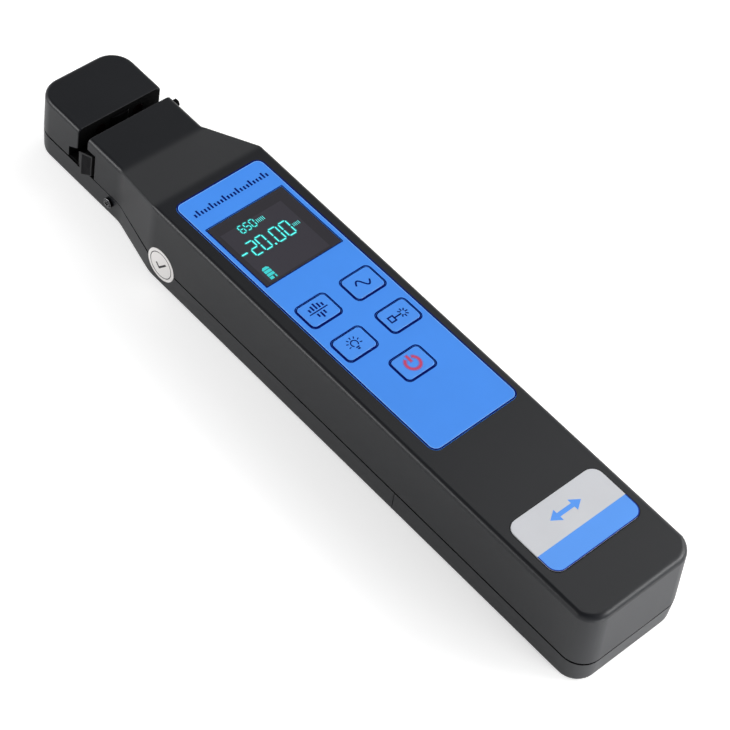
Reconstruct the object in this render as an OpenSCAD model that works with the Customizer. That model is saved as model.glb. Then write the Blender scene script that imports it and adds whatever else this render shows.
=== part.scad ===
// Optical fibre identifier: a hand-held tester with a fibre slot near its head.
// X runs from the head (-X) to the tail (+X), Y across the width, Z up from the resting face.
// The origin is the middle of the resting face.

/* [Overall] */
// Length over the head and the tail end
total_len = 205.6; // [200:0.2:212]
// Width of the body at the joint line
body_w = 35.2; // [34:0.2:38]
// Height of the body's top face over the resting face
body_h = 25.5; // [25:0.1:28]
// Height of the joint line between the upper and the lower shell
seam_h = 8.2; // [8.1:0.1:8.6]
// Wall thickness of the shells
shell_t = 1.8; // [1.5:0.05:2]
// Rounding of the top edges
top_edge_r = 0.8; // [0.6:0.1:1.6]
// Rounding of the bottom edges
foot_edge_r = 1.6; // [0.8:0.1:1.8]
// Corner radius of the tail, seen from above
tail_corner_r = 6; // [4:0.5:8]
// How far the tail end leans in between the joint line and the top
tail_lean = 1.3; // [0:0.1:2]

/* [Neck and head] */
// Width of the neck and the head
neck_w = 26.7; // [26.2:0.1:28]
// Height of the neck and the head over the resting face
neck_h = 20.2; // [20:0.1:21]
// Roof thickness over the neck and the head
neck_roof_t = 1.6; // [1.2:0.1:1.7]
// Length of the head block in front of the slot
head_len = 17.8; // [17.4:0.1:20]
// Corner radius of the head, seen from above
head_corner_r = 6.5; // [5:0.5:7]
// Width of the fibre slot
slot_w = 3.7; // [3.6:0.1:4]
// Length of the straight neck behind the slot
neck_len = 13.4; // [13.2:0.2:16]
// Length of the ramp from neck to body
ramp_len = 17.4; // [17:0.2:20]

/* [Face panel] */
// Length of the blue panel
panel_len = 93.5; // [90:0.5:96]
// Width of the blue panel
panel_w = 28.2; // [27.6:0.2:30]
// Thickness of the panel
panel_t = 0.6; // [0.4:0.1:0.8]
// How far the panel stands over the top face
panel_proud = 0.1; // [0:0.05:0.2]
// Distance from the top of the ramp to the panel
panel_margin = 2.45; // [1.5:0.05:4]
// How far the panel sits off the middle line
panel_shift = 0.7; // [0:0.1:0.8]
// Angle at which the panel was laid, in degrees
panel_skew = 0.6; // [0:0.1:0.8]
// Corner radius of the panel
panel_corner_r = 2.3; // [1:0.1:4]
// Length of the display window
window_len = 22.3; // [21:0.1:23]
// Width of the display window
window_w = 24.5; // [23.5:0.1:25]
// Distance from the panel's head end to the window
window_margin = 10.6; // [8:0.1:12]

/* [Keys] */
// Length of a key along the body
key_len = 6.9; // [6:0.1:7.5]
// Width of a key
key_w = 8.9; // [8:0.1:9.5]
// Corner radius of a key
key_corner_r = 1.1; // [0.6:0.1:2]
// Gap all round a key
key_gap = 0.3; // [0.2:0.05:0.4]
// How far a key stands over the panel
key_proud = 0.5; // [0.4:0.05:0.8]
// Travel of a key
key_travel = 0.35; // [0.2:0.05:0.4]
// Distance from row to row
key_pitch = 12.65; // [12:0.05:13]
// Distance from the window to the middle of the first row
key_first = 12.95; // [12:0.05:14]
// Distance of a column from the panel's middle
key_column = 7.2; // [6.5:0.1:7.4]

/* [End plate and seal] */
// Length of the plate near the tail
plate_len = 16.8; // [14:0.1:18]
// Width of that plate
plate_w = 28.9; // [26:0.1:30]
// Thickness of that plate
plate_t = 0.35; // [0.2:0.05:0.6]
// Corner radius of that plate
plate_corner_r = 3; // [1:0.1:4]
// Distance from the plate to the tail end at the joint line
plate_margin = 15.8; // [12:0.1:18]
// Diameter of the round sticker
sticker_d = 10; // [8:0.1:12]
// Thickness of the sticker
sticker_t = 0.1; // [0.05:0.01:0.15]
// Distance from the top of the ramp to the middle of the sticker
sticker_back = 4.5; // [3:0.1:8]

/* [Jaw and trigger] */
// Travel of the jaw across the slot
jaw_travel = 3.488; // [3:0.001:3.5]
// Turn of the trigger over its whole travel, in degrees
trigger_turn = 20; // [18:0.5:21]
// Height of the trigger's pivot over the resting face
pivot_h = 5.5; // [5.3:0.1:5.8]
// Distance from the slot to the trigger's pivot
pivot_back = 9.7; // [9.5:0.1:10.2]
// Diameter of the pivot pin
pivot_d = 2.4; // [2:0.1:2.6]
// Length of the trigger's pad behind the pivot
pad_reach = 18.1; // [16:0.1:18.4]
// Width of the trigger's pad
pad_w = 13; // [10:0.5:13.2]

/* [Battery] */
// Distance from the tail end to the front edge of the battery door
door_len = 62.6; // [61.6:0.1:64]
// Gap at the battery door's front edge
door_gap = 0.2; // [0.1:0.05:0.4]
// Diameter of a cell
cell_d = 10.5; // [10:0.1:10.6]
// Length of a cell over its nub
cell_len = 44.5; // [43.5:0.1:44.7]

/* [Hidden] */
$fn = 64;

// Overrun of every cut, gap between still parts, sliding gap and close fit on a shaft
cut = 1;
rest_gap = 0.1;
slide_gap = 0.05;
shaft_gap = 0.025;

// Radius of an arc over a chord, from its rise
function arc_radius(chord, rise) = (pow(chord / 2, 2) + pow(rise, 2)) / (2 * rise);

// Places along the length
head_x = -total_len / 2;
tail_x = total_len / 2;
slot_x0 = head_x + head_len;
slot_x1 = slot_x0 + slot_w;
ramp_x0 = slot_x1 + neck_len;
ramp_x1 = ramp_x0 + ramp_len;
door_x = tail_x - door_len;
body_y = body_w / 2;
neck_y = neck_w / 2;
body_room_y = body_y - shell_t;
neck_room_y = neck_y - shell_t;
neck_roof_z = neck_h - neck_roof_t;
roof_z = body_h - shell_t;

// Panel, window and keys
panel_floor_z = body_h + panel_proud - panel_t;
panel_top_z = body_h + panel_proud;
panel_x = ramp_x1 + panel_margin + panel_len / 2;
window_x = window_margin + window_len / 2 - panel_len / 2;
window_t = 1;
window_drop = 0.05;
window_ledge = 0.9;
window_floor_z = panel_top_z - window_drop - window_t;
key_row_x = window_x + window_len / 2 + key_first;
key_places = [[key_row_x, key_column], [key_row_x, -key_column],
    [key_row_x + key_pitch, -key_column], [key_row_x + key_pitch, key_column],
    [key_row_x + 2 * key_pitch, 0]];
key_top_z = panel_top_z + key_proud;
key_flange = 0.8;
key_flange_t = 0.9;
key_stem_r = 1.9;

// Main board and what stands on it
board_len = 76;
board_w = 28.8;
board_t = 1.6;
board_drop = 8;
board_top_z = body_h - board_drop;
board_z = board_top_z - board_t;
board_inset = 4.5;
board_x0 = ramp_x1 + board_inset;
switch_side = 6;
switch_h = 3.2;
plunger_r = 1.65;
plunger_top_z = roof_z - slide_gap - key_flange_t - key_travel - slide_gap - rest_gap;
boss_r = 2.2;
inner_screw_r = 0.8;
inner_screw_head_r = 1.4;
inner_screw_head_t = 1.2;
inner_screw_len = 6.5;
board_screw_inset_x = 3;
board_screw_y = 11.4;
board_screw_places = [for (end = [board_x0 + board_screw_inset_x,
    board_x0 + board_len - board_screw_inset_x]) for (side = [-1, 1]) [end, side * board_screw_y, board_z]];
glass_t = 1.9;
glass_margin = 1.4;
frame_rim = 1.2;
glass_z = roof_z - slide_gap - glass_t;
beeper_r = 6;
beeper_h = 4.4;
beeper_back = 26;
chip_t = 1;
chip_big = 10;
chip_mid = 6;
chip_small = 4;
chip_row_back = 47;

// Case screws
case_screw_r = 1;
case_screw_head_r = 1.9;
case_screw_head_t = 1.6;
case_screw_sink = 2.4;
case_screw_grip = 6;
post_r = 2.5;
head_post_back = 6.3;
head_post_y = 8.2;
ramp_post_back = 9.9;
ramp_post_y = 10.6;
door_post_back = 5.6;
door_post_y = 12.6;
case_posts = [for (side = [-1, 1]) each [[head_x + head_post_back, side * head_post_y],
    [ramp_x0 + ramp_post_back, side * ramp_post_y], [door_x - door_post_back, side * door_post_y]]];

// Slot, jaw and trigger
notch_depth = 3.3;
notch_low = 3.5;
notch_high = 5.5;
head_wall_t = 2;
head_block_x = slot_x0 - notch_depth - head_wall_t;
jaw_len = 7;
jaw_face_x = slot_x1 + rest_gap;
jaw_side_gap = 0.25;
jaw_y = neck_room_y - jaw_side_gap;
jaw_floor_z = seam_h + slide_gap;
jaw_roof_gap = 0.5;
jaw_top_z = neck_roof_z - jaw_roof_gap;
lip_len = 3;
lip_low = 3.3;
lip_high = 5.1;
lip_gap = 0.15;
lip_x = slot_x1 - rest_gap - lip_len;
tab_t = 0.28;
tab_gap = 0.12;
tab_drop = 1.8;
tab_toe = 0.9;
tab_brow = 5.4;
tab_high = 8;
tab_len = 5.9;
tab_rim = 0.7;
window_gap = 0.5;
wing_len = 7.7;
wing_w = 4.3;
wing_h = 3.25;
cheek_w = 2;
cheek_len = 6.6;
cheek_h = 4.2;
arm_w = 5.6;
arm_gap = 0.4;
arm_t = 5.4;
fork_gap = 0.3;
drive_d = 2;
hub_r = 3.2;
hub_w = 6;
pivot_x = slot_x1 + pivot_back;
arm_h = jaw_travel / 2 / tan(trigger_turn / 2);
drive_x = pivot_x + jaw_travel / 2;
drive_z = pivot_h + arm_h;
arm_tip = 2.35;
pad_clear = 0.45;
pad_t = 2.15;
pad_front = 1.1;
pad_groove = 0.5;
pad_grooves = 5;
pad_groove_pitch = 2.2;
pad_play = 0.5;
pad_play_end = 0.65;
guide_t = 1;
guide_len = 20;
guide_inset = 0.7;
guide_slot_y = 4.6;
guide_bar = 1.2;
ledge_w = 3.05;
pin_head_r = 1.4;
pin_head_t = 0.9;
pin_cross = 0.5;
lock_screw_back = 0.9;
lock_screw_drop = 0.9;
lock_screw_z = jaw_top_z - lock_screw_drop;
lock_screw_r = 0.8;
lock_hex_r = 1.3;
lock_hex_t = 1.5;
lock_hex_out = 0.5;
lock_play = 0.2;
spring_r = 2.4;
spring_wire = 0.6;
spring_back = 8.1;
spring_x = pivot_x + spring_back;
spring_z = pad_clear + pad_t;
spring_len = 13.4;
spring_top_z = spring_z + spring_len;
spring_peg_h = 1.4;
web_t = 3;

// Optics in the head
anvil_w = 6;
anvil_depth = 2;
anvil_bulge = 0.6;
anvil_low = 6.8;
anvil_r = arc_radius(anvil_w, anvil_bulge);
detector_y = 6;
detector_h = 8.1;
detector_r = 1.7;
detector_len = 3.4;
detector_hole_r = 1;
lens_r = 1.6;
lens_t = 0.5;
pad_block_w = 16;
pad_block_t = 1.8;
pad_block_h = 3.6;
pad_hollow_w = 7.4;
pad_hollow = 0.9;
pad_hollow_r = arc_radius(pad_hollow_w, pad_hollow);
sensor_board_t = 1;
sensor_board_w = 19;
sensor_board_low = 1;
sensor_board_h = 9;
port_h = 5.2;
port_r = 2.6;
port_len = 7.8;
port_bore_r = 1.25;
port_bore_len = 7;
diode_r = 2.3;
diode_len = 2.8;
flex_y = 7.6;
flex_t = 0.3;
flex_w = 1.9;

// Battery
tray_t = 1.2;
contact_t = 0.4;
contact_spring_len = 6;
contact_spring_r = 2.8;
contact_spring_t = 0.7;
cell_gap = 0.4;
cell_play = 0.5;
cell_nub_r = 1.9;
cell_nub = 0.8;
tray_inset = 3.2;
tray_x0 = door_x + tray_inset;
tray_room_x0 = tray_x0 + tray_t;
tray_room_len = cell_len + contact_spring_len + 2 * contact_t;
tray_x1 = tray_room_x0 + tray_room_len + tray_t;
cell_y = cell_d / 2 + cell_gap / 2;
tray_web_y = cell_y + cell_d / 2 + cell_play;
tray_rise = 6;
tray_roof_z = seam_h + tray_rise;
cell_z = tray_roof_z - slide_gap - cell_d / 2;
tray_wing_y = body_room_y - cell_play;
tray_screw_inset = 3.7;
tray_screw_y = 13.9;
tray_boss_r = 1.9;
tray_screw_places = [for (end = [tray_x0 + tray_screw_inset, tray_x1 - tray_screw_inset])
    for (side = [-1, 1]) [end, side * tray_screw_y, tray_roof_z]];
inner_screw_places = concat(board_screw_places, tray_screw_places);
rail_low = 3.8;
rail_t = 1;
rail_end = 7.2;
hook_gap = 0.3;
hook_t = 0.9;
hook_w = 1.9;
door_ridge_t = 0.35;
door_ridge_pitch = 2;
door_ridges = 5;
cross_share = 0.6;
cross_arm_share = 0.3;
lead_r = 0.6;
lead_y = 4;
lead_lap = 3;

// A block between two corners
module block(x0, x1, y0, y1, z0, z1) translate([x0, y0, z0]) cube([x1 - x0, y1 - y0, z1 - z0]);
// Rods along each axis
module rod_x(x0, x1, y, z, r) translate([x0, y, z]) rotate([0, 90, 0]) cylinder(h = x1 - x0, r = r);
module rod_y(y0, y1, x, z, r) translate([x, y1, z]) rotate([90, 0, 0]) cylinder(h = y1 - y0, r = r);
module rod_z(z0, z1, x, y, r) translate([x, y, z0]) cylinder(h = z1 - z0, r = r);
// A profile drawn in X and Z, carried along Y
module along_y(y0, y1) translate([0, y1, 0]) rotate([90, 0, 0]) linear_extrude(y1 - y0) children();
// A profile drawn in Y and Z, carried along X
module along_x(x0, x1) translate([x0, 0, 0]) rotate([90, 0, 90]) linear_extrude(x1 - x0) children();

// A flat plate with round corners, centred on its own middle
module round_plate(len, w, r, z0, z1) translate([0, 0, z0]) linear_extrude(z1 - z0) union() {
    square([len - 2 * r, w], center = true);
    square([len, w - 2 * r], center = true);
    for (a = [-1, 1], b = [-1, 1]) translate([a * (len / 2 - r), b * (w / 2 - r)]) circle(r = r);
}

// What a rounding of radius r takes off a square corner that points to a and b
module nick(r, a, b) difference() {
    translate([a < 0 ? -(r + cut) : 0, b < 0 ? -(r + cut) : 0]) square(r + cut);
    circle(r = r);
}
module edge_x(x0, x1, y, z, r, a, b) along_x(x0, x1) translate([y - a * r, z - b * r]) nick(r, a, b);
module edge_y(y0, y1, x, z, r, a, b) along_y(y0, y1) translate([x - a * r, z - b * r]) nick(r, a, b);
module edge_arc(x, y, turn, arc_r, z, r, b) translate([x, y, 0]) rotate([0, 0, turn])
    rotate_extrude(angle = 90) translate([arc_r - r, z - b * r]) nick(r, 1, b);

// The whole outline seen from above, drawn in by a wall
module outline(wall) {
    hy = neck_y - head_corner_r;
    ty = body_y - tail_corner_r;
    polygon([[head_x + wall, -hy], [head_x + head_corner_r, wall - neck_y], [ramp_x0, wall - neck_y],
        [ramp_x1, wall - body_y], [tail_x - tail_corner_r, wall - body_y], [tail_x - wall, -ty],
        [tail_x - wall, ty], [tail_x - tail_corner_r, body_y - wall], [ramp_x1, body_y - wall],
        [ramp_x0, neck_y - wall], [head_x + head_corner_r, neck_y - wall], [head_x + wall, hy]]);
    for (side = [-1, 1]) {
        translate([head_x + head_corner_r, side * hy]) circle(r = head_corner_r - wall);
        translate([tail_x - tail_corner_r, side * ty]) circle(r = tail_corner_r - wall);
    }
}
module form(x0, x1, z0, z1, wall) intersection() {
    translate([0, 0, z0]) linear_extrude(z1 - z0) outline(wall);
    block(x0, x1, -body_w, body_w, z0, z1);
}

// Side view of the upper shell, drawn in by a wall and a roof
module upper_profile(wall, roof, z0) polygon([[slot_x1 - (wall > 0 ? cut : 0), z0], [tail_x - wall, z0],
    [tail_x - wall, seam_h], [tail_x - tail_lean - wall, body_h - wall], [ramp_x1, body_h - wall],
    [ramp_x0, neck_h - roof], [slot_x1 - (wall > 0 ? cut : 0), neck_h - roof]]);

// The bottom edges that the lower shell and the door share
module foot_edges() {
    slope = atan((body_y - neck_y) / ramp_len);
    run = sqrt(pow(body_y - neck_y, 2) + pow(ramp_len, 2));
    for (side = [-1, 1]) {
        edge_x(head_x + head_corner_r, ramp_x0, side * neck_y, 0, foot_edge_r, side, -1);
        translate([ramp_x0, side * neck_y, 0]) rotate([0, 0, side * slope])
            edge_x(0, run, 0, 0, foot_edge_r, side, -1);
        edge_x(ramp_x1, tail_x - tail_corner_r, side * body_y, 0, foot_edge_r, side, -1);
        edge_arc(head_x + head_corner_r, side * (neck_y - head_corner_r), side > 0 ? 90 : 180,
            head_corner_r, 0, foot_edge_r, -1);
        edge_arc(tail_x - tail_corner_r, side * (body_y - tail_corner_r), side > 0 ? 0 : 270,
            tail_corner_r, 0, foot_edge_r, -1);
    }
    edge_y(head_corner_r - neck_y, neck_y - head_corner_r, head_x, 0, foot_edge_r, -1, -1);
    edge_y(tail_corner_r - body_y, body_y - tail_corner_r, tail_x, 0, foot_edge_r, 1, -1);
}

// Places things in the frame of the panel, which lies a little askew
module on_panel() translate([panel_x, panel_shift, 0]) rotate([0, 0, panel_skew]) children();
module key_holes(z0, z1) for (p = key_places) translate([p[0], p[1], 0])
    round_plate(key_len + 2 * key_gap, key_w + 2 * key_gap, key_corner_r + key_gap, z0, z1);

module upper_form() intersection() {
    form(slot_x1, tail_x, seam_h, body_h, 0);
    along_y(-body_y, body_y) upper_profile(0, 0, seam_h);
}

module upper_shell() color([0.16, 0.16, 0.17]) difference() {
    union() {
        difference() {
            upper_form();
            intersection() {
                form(slot_x1 - cut, tail_x, seam_h - cut, body_h, shell_t);
                along_y(-body_y, body_y) upper_profile(shell_t, neck_roof_t, seam_h - cut);
            }
        }
        for (p = board_screw_places) rod_z(board_top_z, roof_z + shell_t / 2, p[0], p[1], boss_r);
        for (p = tray_screw_places)
            rod_z(tray_roof_z + tray_t, roof_z + shell_t / 2, p[0], p[1], tray_boss_r);
        for (p = case_posts) if (p[0] > ramp_x1) rod_z(seam_h, roof_z + shell_t / 2, p[0], p[1], post_r);
        // Posts under the ramp, and the seat of the trigger's spring
        intersection() {
            upper_form();
            union() {
                for (p = case_posts) if (p[0] > slot_x1 && p[0] < ramp_x1)
                    rod_z(seam_h, body_h, p[0], p[1], post_r);
                rod_z(spring_top_z, body_h, spring_x, 0, spring_r + rest_gap);
            }
        }
    }
    for (side = [-1, 1]) {
        edge_x(ramp_x1, tail_x - tail_corner_r, side * body_y, body_h, top_edge_r, side, 1);
        edge_x(slot_x1 - cut, ramp_x0, side * neck_y, neck_h, top_edge_r, side, 1);
        edge_arc(tail_x - tail_corner_r, side * (body_y - tail_corner_r), side > 0 ? 0 : 270,
            tail_corner_r, body_h, top_edge_r, 1);
    }
    edge_y(tail_corner_r - body_y, body_y - tail_corner_r, tail_x - tail_lean, body_h, top_edge_r, 1, 1);
    on_panel() {
        round_plate(panel_len, panel_w, panel_corner_r, panel_floor_z, body_h + cut);
        translate([window_x, 0, 0]) {
            block(-window_len / 2, window_len / 2, -window_w / 2, window_w / 2, window_floor_z, body_h);
            block(window_ledge - window_len / 2, window_len / 2 - window_ledge,
                window_ledge - window_w / 2, window_w / 2 - window_ledge, roof_z - cut, body_h);
        }
        key_holes(roof_z - cut, body_h);
    }
    translate([tail_x - plate_margin - plate_len / 2, 0, 0])
        round_plate(plate_len, plate_w, plate_corner_r, body_h - plate_t / 2, body_h + cut);
    for (p = inner_screw_places)
        rod_z(p[2], p[2] + inner_screw_len + rest_gap, p[0], p[1], inner_screw_r + shaft_gap);
    for (p = case_posts)
        rod_z(seam_h - cut, seam_h + case_screw_grip, p[0], p[1], case_screw_r + shaft_gap);
    // Window for the jaw's tab on the near side, and slot for the lock screw on the far side
    block(slot_x1 - cut, slot_x1 - rest_gap - lip_len + tab_len + window_gap, -neck_y - cut,
        -neck_room_y + cut, seam_h - cut, seam_h + tab_high + window_gap);
    block(slot_x1 - cut, slot_x1 + lock_screw_back + lock_screw_r + lock_play, neck_room_y - cut,
        neck_y + cut, lock_screw_z - lock_screw_r - lock_play, lock_screw_z + lock_screw_r + lock_play);
}

module head_cap() color([0.14, 0.14, 0.15]) difference() {
    union() {
        difference() {
            form(head_x, slot_x0, seam_h, neck_h, 0);
            form(head_x, head_block_x, seam_h - cut, neck_roof_z, shell_t);
        }
        for (p = case_posts) if (p[0] < slot_x0)
            rod_z(seam_h, neck_roof_z + neck_roof_t / 2, p[0], p[1], post_r);
    }
    for (side = [-1, 1]) {
        edge_x(head_x + head_corner_r, slot_x0 + cut, side * neck_y, neck_h, top_edge_r, side, 1);
        edge_arc(head_x + head_corner_r, side * (neck_y - head_corner_r), side > 0 ? 90 : 180,
            head_corner_r, neck_h, top_edge_r, 1);
    }
    edge_y(head_corner_r - neck_y, neck_y - head_corner_r, head_x, neck_h, top_edge_r, -1, 1);
    // Notch that the jaw's lip slides into
    along_y(-neck_y - cut, neck_y + cut) polygon([[slot_x0 - notch_depth, seam_h - cut],
        [slot_x0 - notch_depth, seam_h + notch_low], [slot_x0, seam_h + notch_high],
        [slot_x0 + cut, seam_h + notch_high], [slot_x0 + cut, seam_h - cut]]);
    block(slot_x0 - anvil_depth - rest_gap, slot_x0 + cut, -anvil_w / 2 - rest_gap,
        anvil_w / 2 + rest_gap, seam_h + anvil_low - rest_gap, neck_roof_z);
    for (side = [-1, 1]) {
        rod_x(head_block_x - cut, head_block_x + detector_len + rest_gap, side * detector_y,
            seam_h + detector_h, detector_r + rest_gap);
        rod_x(head_block_x, slot_x0 + cut, side * detector_y, seam_h + detector_h, detector_hole_r);
        rod_x(slot_x0 - lens_t - rest_gap, slot_x0 + cut, side * detector_y, seam_h + detector_h,
            lens_r + rest_gap);
    }
    rod_x(head_x - cut, head_x + shell_t + cut, 0, seam_h + port_h, port_r + shaft_gap);
    for (p = case_posts)
        rod_z(seam_h - cut, seam_h + case_screw_grip, p[0], p[1], case_screw_r + shaft_gap);
}

module lower_shell() color([0.15, 0.15, 0.16]) difference() {
    union() {
        difference() {
            form(head_x, door_x, 0, seam_h, 0);
            form(head_x, door_x - shell_t, shell_t, seam_h + cut, shell_t);
        }
        for (p = case_posts) rod_z(shell_t / 2, seam_h, p[0], p[1], post_r);
        // Deck under the slot and the notch
        block(head_block_x, slot_x1, -neck_room_y - shell_t / 2, neck_room_y + shell_t / 2,
            seam_h - shell_t, seam_h);
        // Ledges that carry the jaw guide and the pivot pin
        for (side = [-1, 1]) block(slot_x1 + guide_inset, slot_x1 + guide_inset + guide_len,
            side > 0 ? neck_room_y - ledge_w : -neck_room_y - shell_t / 2,
            side > 0 ? neck_room_y + shell_t / 2 : ledge_w - neck_room_y, shell_t / 2,
            seam_h - guide_t);
    }
    foot_edges();
    for (p = case_posts) {
        rod_z(-cut, seam_h + cut, p[0], p[1], case_screw_r + rest_gap);
        rod_z(-cut, case_screw_sink, p[0], p[1], case_screw_head_r + 2 * rest_gap);
    }
    block(pivot_x + pad_front - pad_play, pivot_x + pad_reach + pad_play_end,
        -pad_w / 2 - pad_play, pad_w / 2 + pad_play, -cut, shell_t + cut);
    rod_y(-neck_y - cut, neck_y + cut, pivot_x, pivot_h, pivot_d / 2 + shaft_gap);
}

module battery_door() color([0.15, 0.15, 0.16]) difference() {
    union() {
        difference() {
            form(door_x + door_gap, tail_x, 0, seam_h - rest_gap, 0);
            form(door_x, tail_x, shell_t, seam_h + cut, shell_t);
        }
        // Hooks that run over the tray's rails
        for (side = [-1, 1]) block(tray_x0 + rail_end + cell_play, tray_x1 - rail_end - cell_play,
            side > 0 ? body_room_y - hook_w : -body_room_y - shell_t / 2,
            side > 0 ? body_room_y + shell_t / 2 : hook_w - body_room_y,
            rail_low + rail_t + hook_gap, rail_low + rail_t + hook_gap + hook_t);
    }
    foot_edges();
    for (i = [0 : door_ridges - 1]) block(tray_x0 + i * door_ridge_pitch,
        tray_x0 + i * door_ridge_pitch + door_ridge_pitch / 2, -cell_d, cell_d, -cut, door_ridge_t);
}

module face_panel() color([0.27, 0.57, 0.95]) on_panel() difference() {
    round_plate(panel_len, panel_w, panel_corner_r, panel_floor_z, panel_top_z);
    translate([window_x, 0, 0]) block(-window_len / 2, window_len / 2, -window_w / 2, window_w / 2,
        panel_floor_z - cut, panel_top_z + cut);
    key_holes(panel_floor_z - cut, panel_top_z + cut);
}

module display_window() color([0.2, 0.2, 0.23]) on_panel() translate([window_x, 0, 0])
    block(rest_gap - window_len / 2, window_len / 2 - rest_gap, rest_gap - window_w / 2,
        window_w / 2 - rest_gap, window_floor_z, window_floor_z + window_t);

// A key: cap through the panel, flange under the roof, stem over its switch
module key(i) color([0.27, 0.57, 0.95]) on_panel() translate([key_places[i][0], key_places[i][1], 0]) {
    flange_top = roof_z - slide_gap;
    round_plate(key_len, key_w, key_corner_r, flange_top - key_flange_t / 2, key_top_z);
    round_plate(key_len + 2 * key_flange, key_w + 2 * key_flange, key_corner_r,
        flange_top - key_flange_t, flange_top);
    rod_z(plunger_top_z + key_travel + slide_gap, flange_top - key_flange_t / 2, 0, 0, key_stem_r);
}
module key_wave() key(0);
module key_units() key(1);
module key_lamp() key(2);
module key_laser() key(3);
module key_power() key(4);

module end_plate() color([0.8, 0.82, 0.86])
    translate([tail_x - plate_margin - plate_len / 2, 0, 0])
    round_plate(plate_len - rest_gap, plate_w - rest_gap, plate_corner_r,
        body_h - plate_t / 2, body_h + plate_t / 2);

module seal_sticker() color([0.9, 0.9, 0.9])
    rod_y(-body_y - sticker_t, -body_y, ramp_x1 + sticker_back, seam_h + sticker_t, sticker_d / 2);

// Sliding jaw: block, lip under the slot, end tab in the neck's side, wings and cheeks
module jaw_slide() color([0.2, 0.2, 0.2]) difference() {
    tab_y = neck_y + tab_gap;
    tab_end = lip_x + tab_len;
    tab_foot = seam_h - tab_drop;
    union() {
        block(jaw_face_x, jaw_face_x + jaw_len, -jaw_y, jaw_y, jaw_floor_z, jaw_top_z);
        along_y(-tab_y, neck_y) polygon([[lip_x, seam_h + lip_gap], [lip_x, seam_h + lip_low],
            [slot_x1 - rest_gap, seam_h + lip_high], [slot_x1 - rest_gap, seam_h + lip_gap]]);
        block(lip_x + lip_len - rest_gap, jaw_face_x + cut, -jaw_y, jaw_y, seam_h + lip_gap,
            seam_h + lip_high);
        along_y(-tab_y, cut - jaw_y) polygon([[lip_x + lip_len - rest_gap, seam_h + lip_gap],
            [lip_x + lip_len - rest_gap, seam_h + lip_high], [tab_end, seam_h + tab_high],
            [tab_end, seam_h + tab_toe]]);
        along_y(-tab_y - tab_t, -tab_y) polygon([[lip_x, tab_foot], [lip_x, seam_h + tab_brow],
            [tab_end, seam_h + tab_high], [tab_end, seam_h + tab_toe]]);
        for (side = [-1, 1]) {
            block(jaw_face_x + jaw_len - cut, jaw_face_x + jaw_len + wing_len,
                side > 0 ? jaw_y - wing_w : -jaw_y, side > 0 ? jaw_y : wing_w - jaw_y,
                jaw_floor_z, jaw_floor_z + wing_h);
            block(jaw_face_x + jaw_len - cut, jaw_face_x + jaw_len + cheek_len,
                side > 0 ? arm_w / 2 + arm_gap : -arm_w / 2 - arm_gap - cheek_w,
                side > 0 ? arm_w / 2 + arm_gap + cheek_w : -arm_w / 2 - arm_gap,
                drive_z - cheek_h / 2, drive_z + cheek_h / 2);
        }
    }
    // Shallow recess in the tab's face, inside its rim
    along_y(-tab_y - tab_t - cut, -tab_y - tab_t / 2) polygon([
        [lip_x + tab_rim, tab_foot + 2 * tab_rim], [lip_x + tab_rim, seam_h + tab_brow - tab_rim / 2],
        [tab_end - tab_rim / 2, seam_h + tab_high - tab_rim],
        [tab_end - tab_rim / 2, seam_h + tab_toe + tab_rim / 2]]);
    // Pocket for the fibre pad
    block(jaw_face_x - cut, jaw_face_x + pad_block_t, -pad_block_w / 2, pad_block_w / 2,
        jaw_top_z - pad_block_h, jaw_top_z + cut);
    rod_y(-neck_y, neck_y, drive_x, drive_z, drive_d / 2 + shaft_gap);
    rod_y(0, neck_y, slot_x1 + lock_screw_back, lock_screw_z, lock_screw_r + shaft_gap);
}

module fibre_pad() color([0.75, 0.75, 0.72]) difference() {
    block(jaw_face_x, jaw_face_x + pad_block_t, -pad_block_w / 2, pad_block_w / 2,
        jaw_top_z - pad_block_h, jaw_top_z);
    rod_z(jaw_top_z - pad_block_h - cut, jaw_top_z + cut,
        jaw_face_x + pad_hollow - pad_hollow_r, 0, pad_hollow_r);
}

module drive_pin() color([0.7, 0.7, 0.72])
    rod_y(-arm_w / 2 - arm_gap - cheek_w, arm_w / 2 + arm_gap + cheek_w, drive_x, drive_z, drive_d / 2);

module lock_screw() color([0.12, 0.12, 0.12]) {
    x = slot_x1 + lock_screw_back;
    rod_y(pad_block_w / 2 + rest_gap, neck_y + lock_hex_out, x, lock_screw_z, lock_screw_r);
    translate([x, neck_y + lock_hex_out + lock_hex_t, lock_screw_z]) rotate([90, 0, 0])
        cylinder(h = lock_hex_t, r = lock_hex_r, $fn = 6);
}

module jaw_guide() color([0.7, 0.7, 0.72]) difference() {
    block(slot_x1 + guide_inset, slot_x1 + guide_inset + guide_len, rest_gap - neck_room_y,
        neck_room_y - rest_gap, seam_h - guide_t, seam_h);
    block(slot_x1 + guide_inset + guide_bar, slot_x1 + guide_inset + guide_len + cut,
        -guide_slot_y, guide_slot_y, seam_h - guide_t - cut, seam_h + cut);
}

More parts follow.
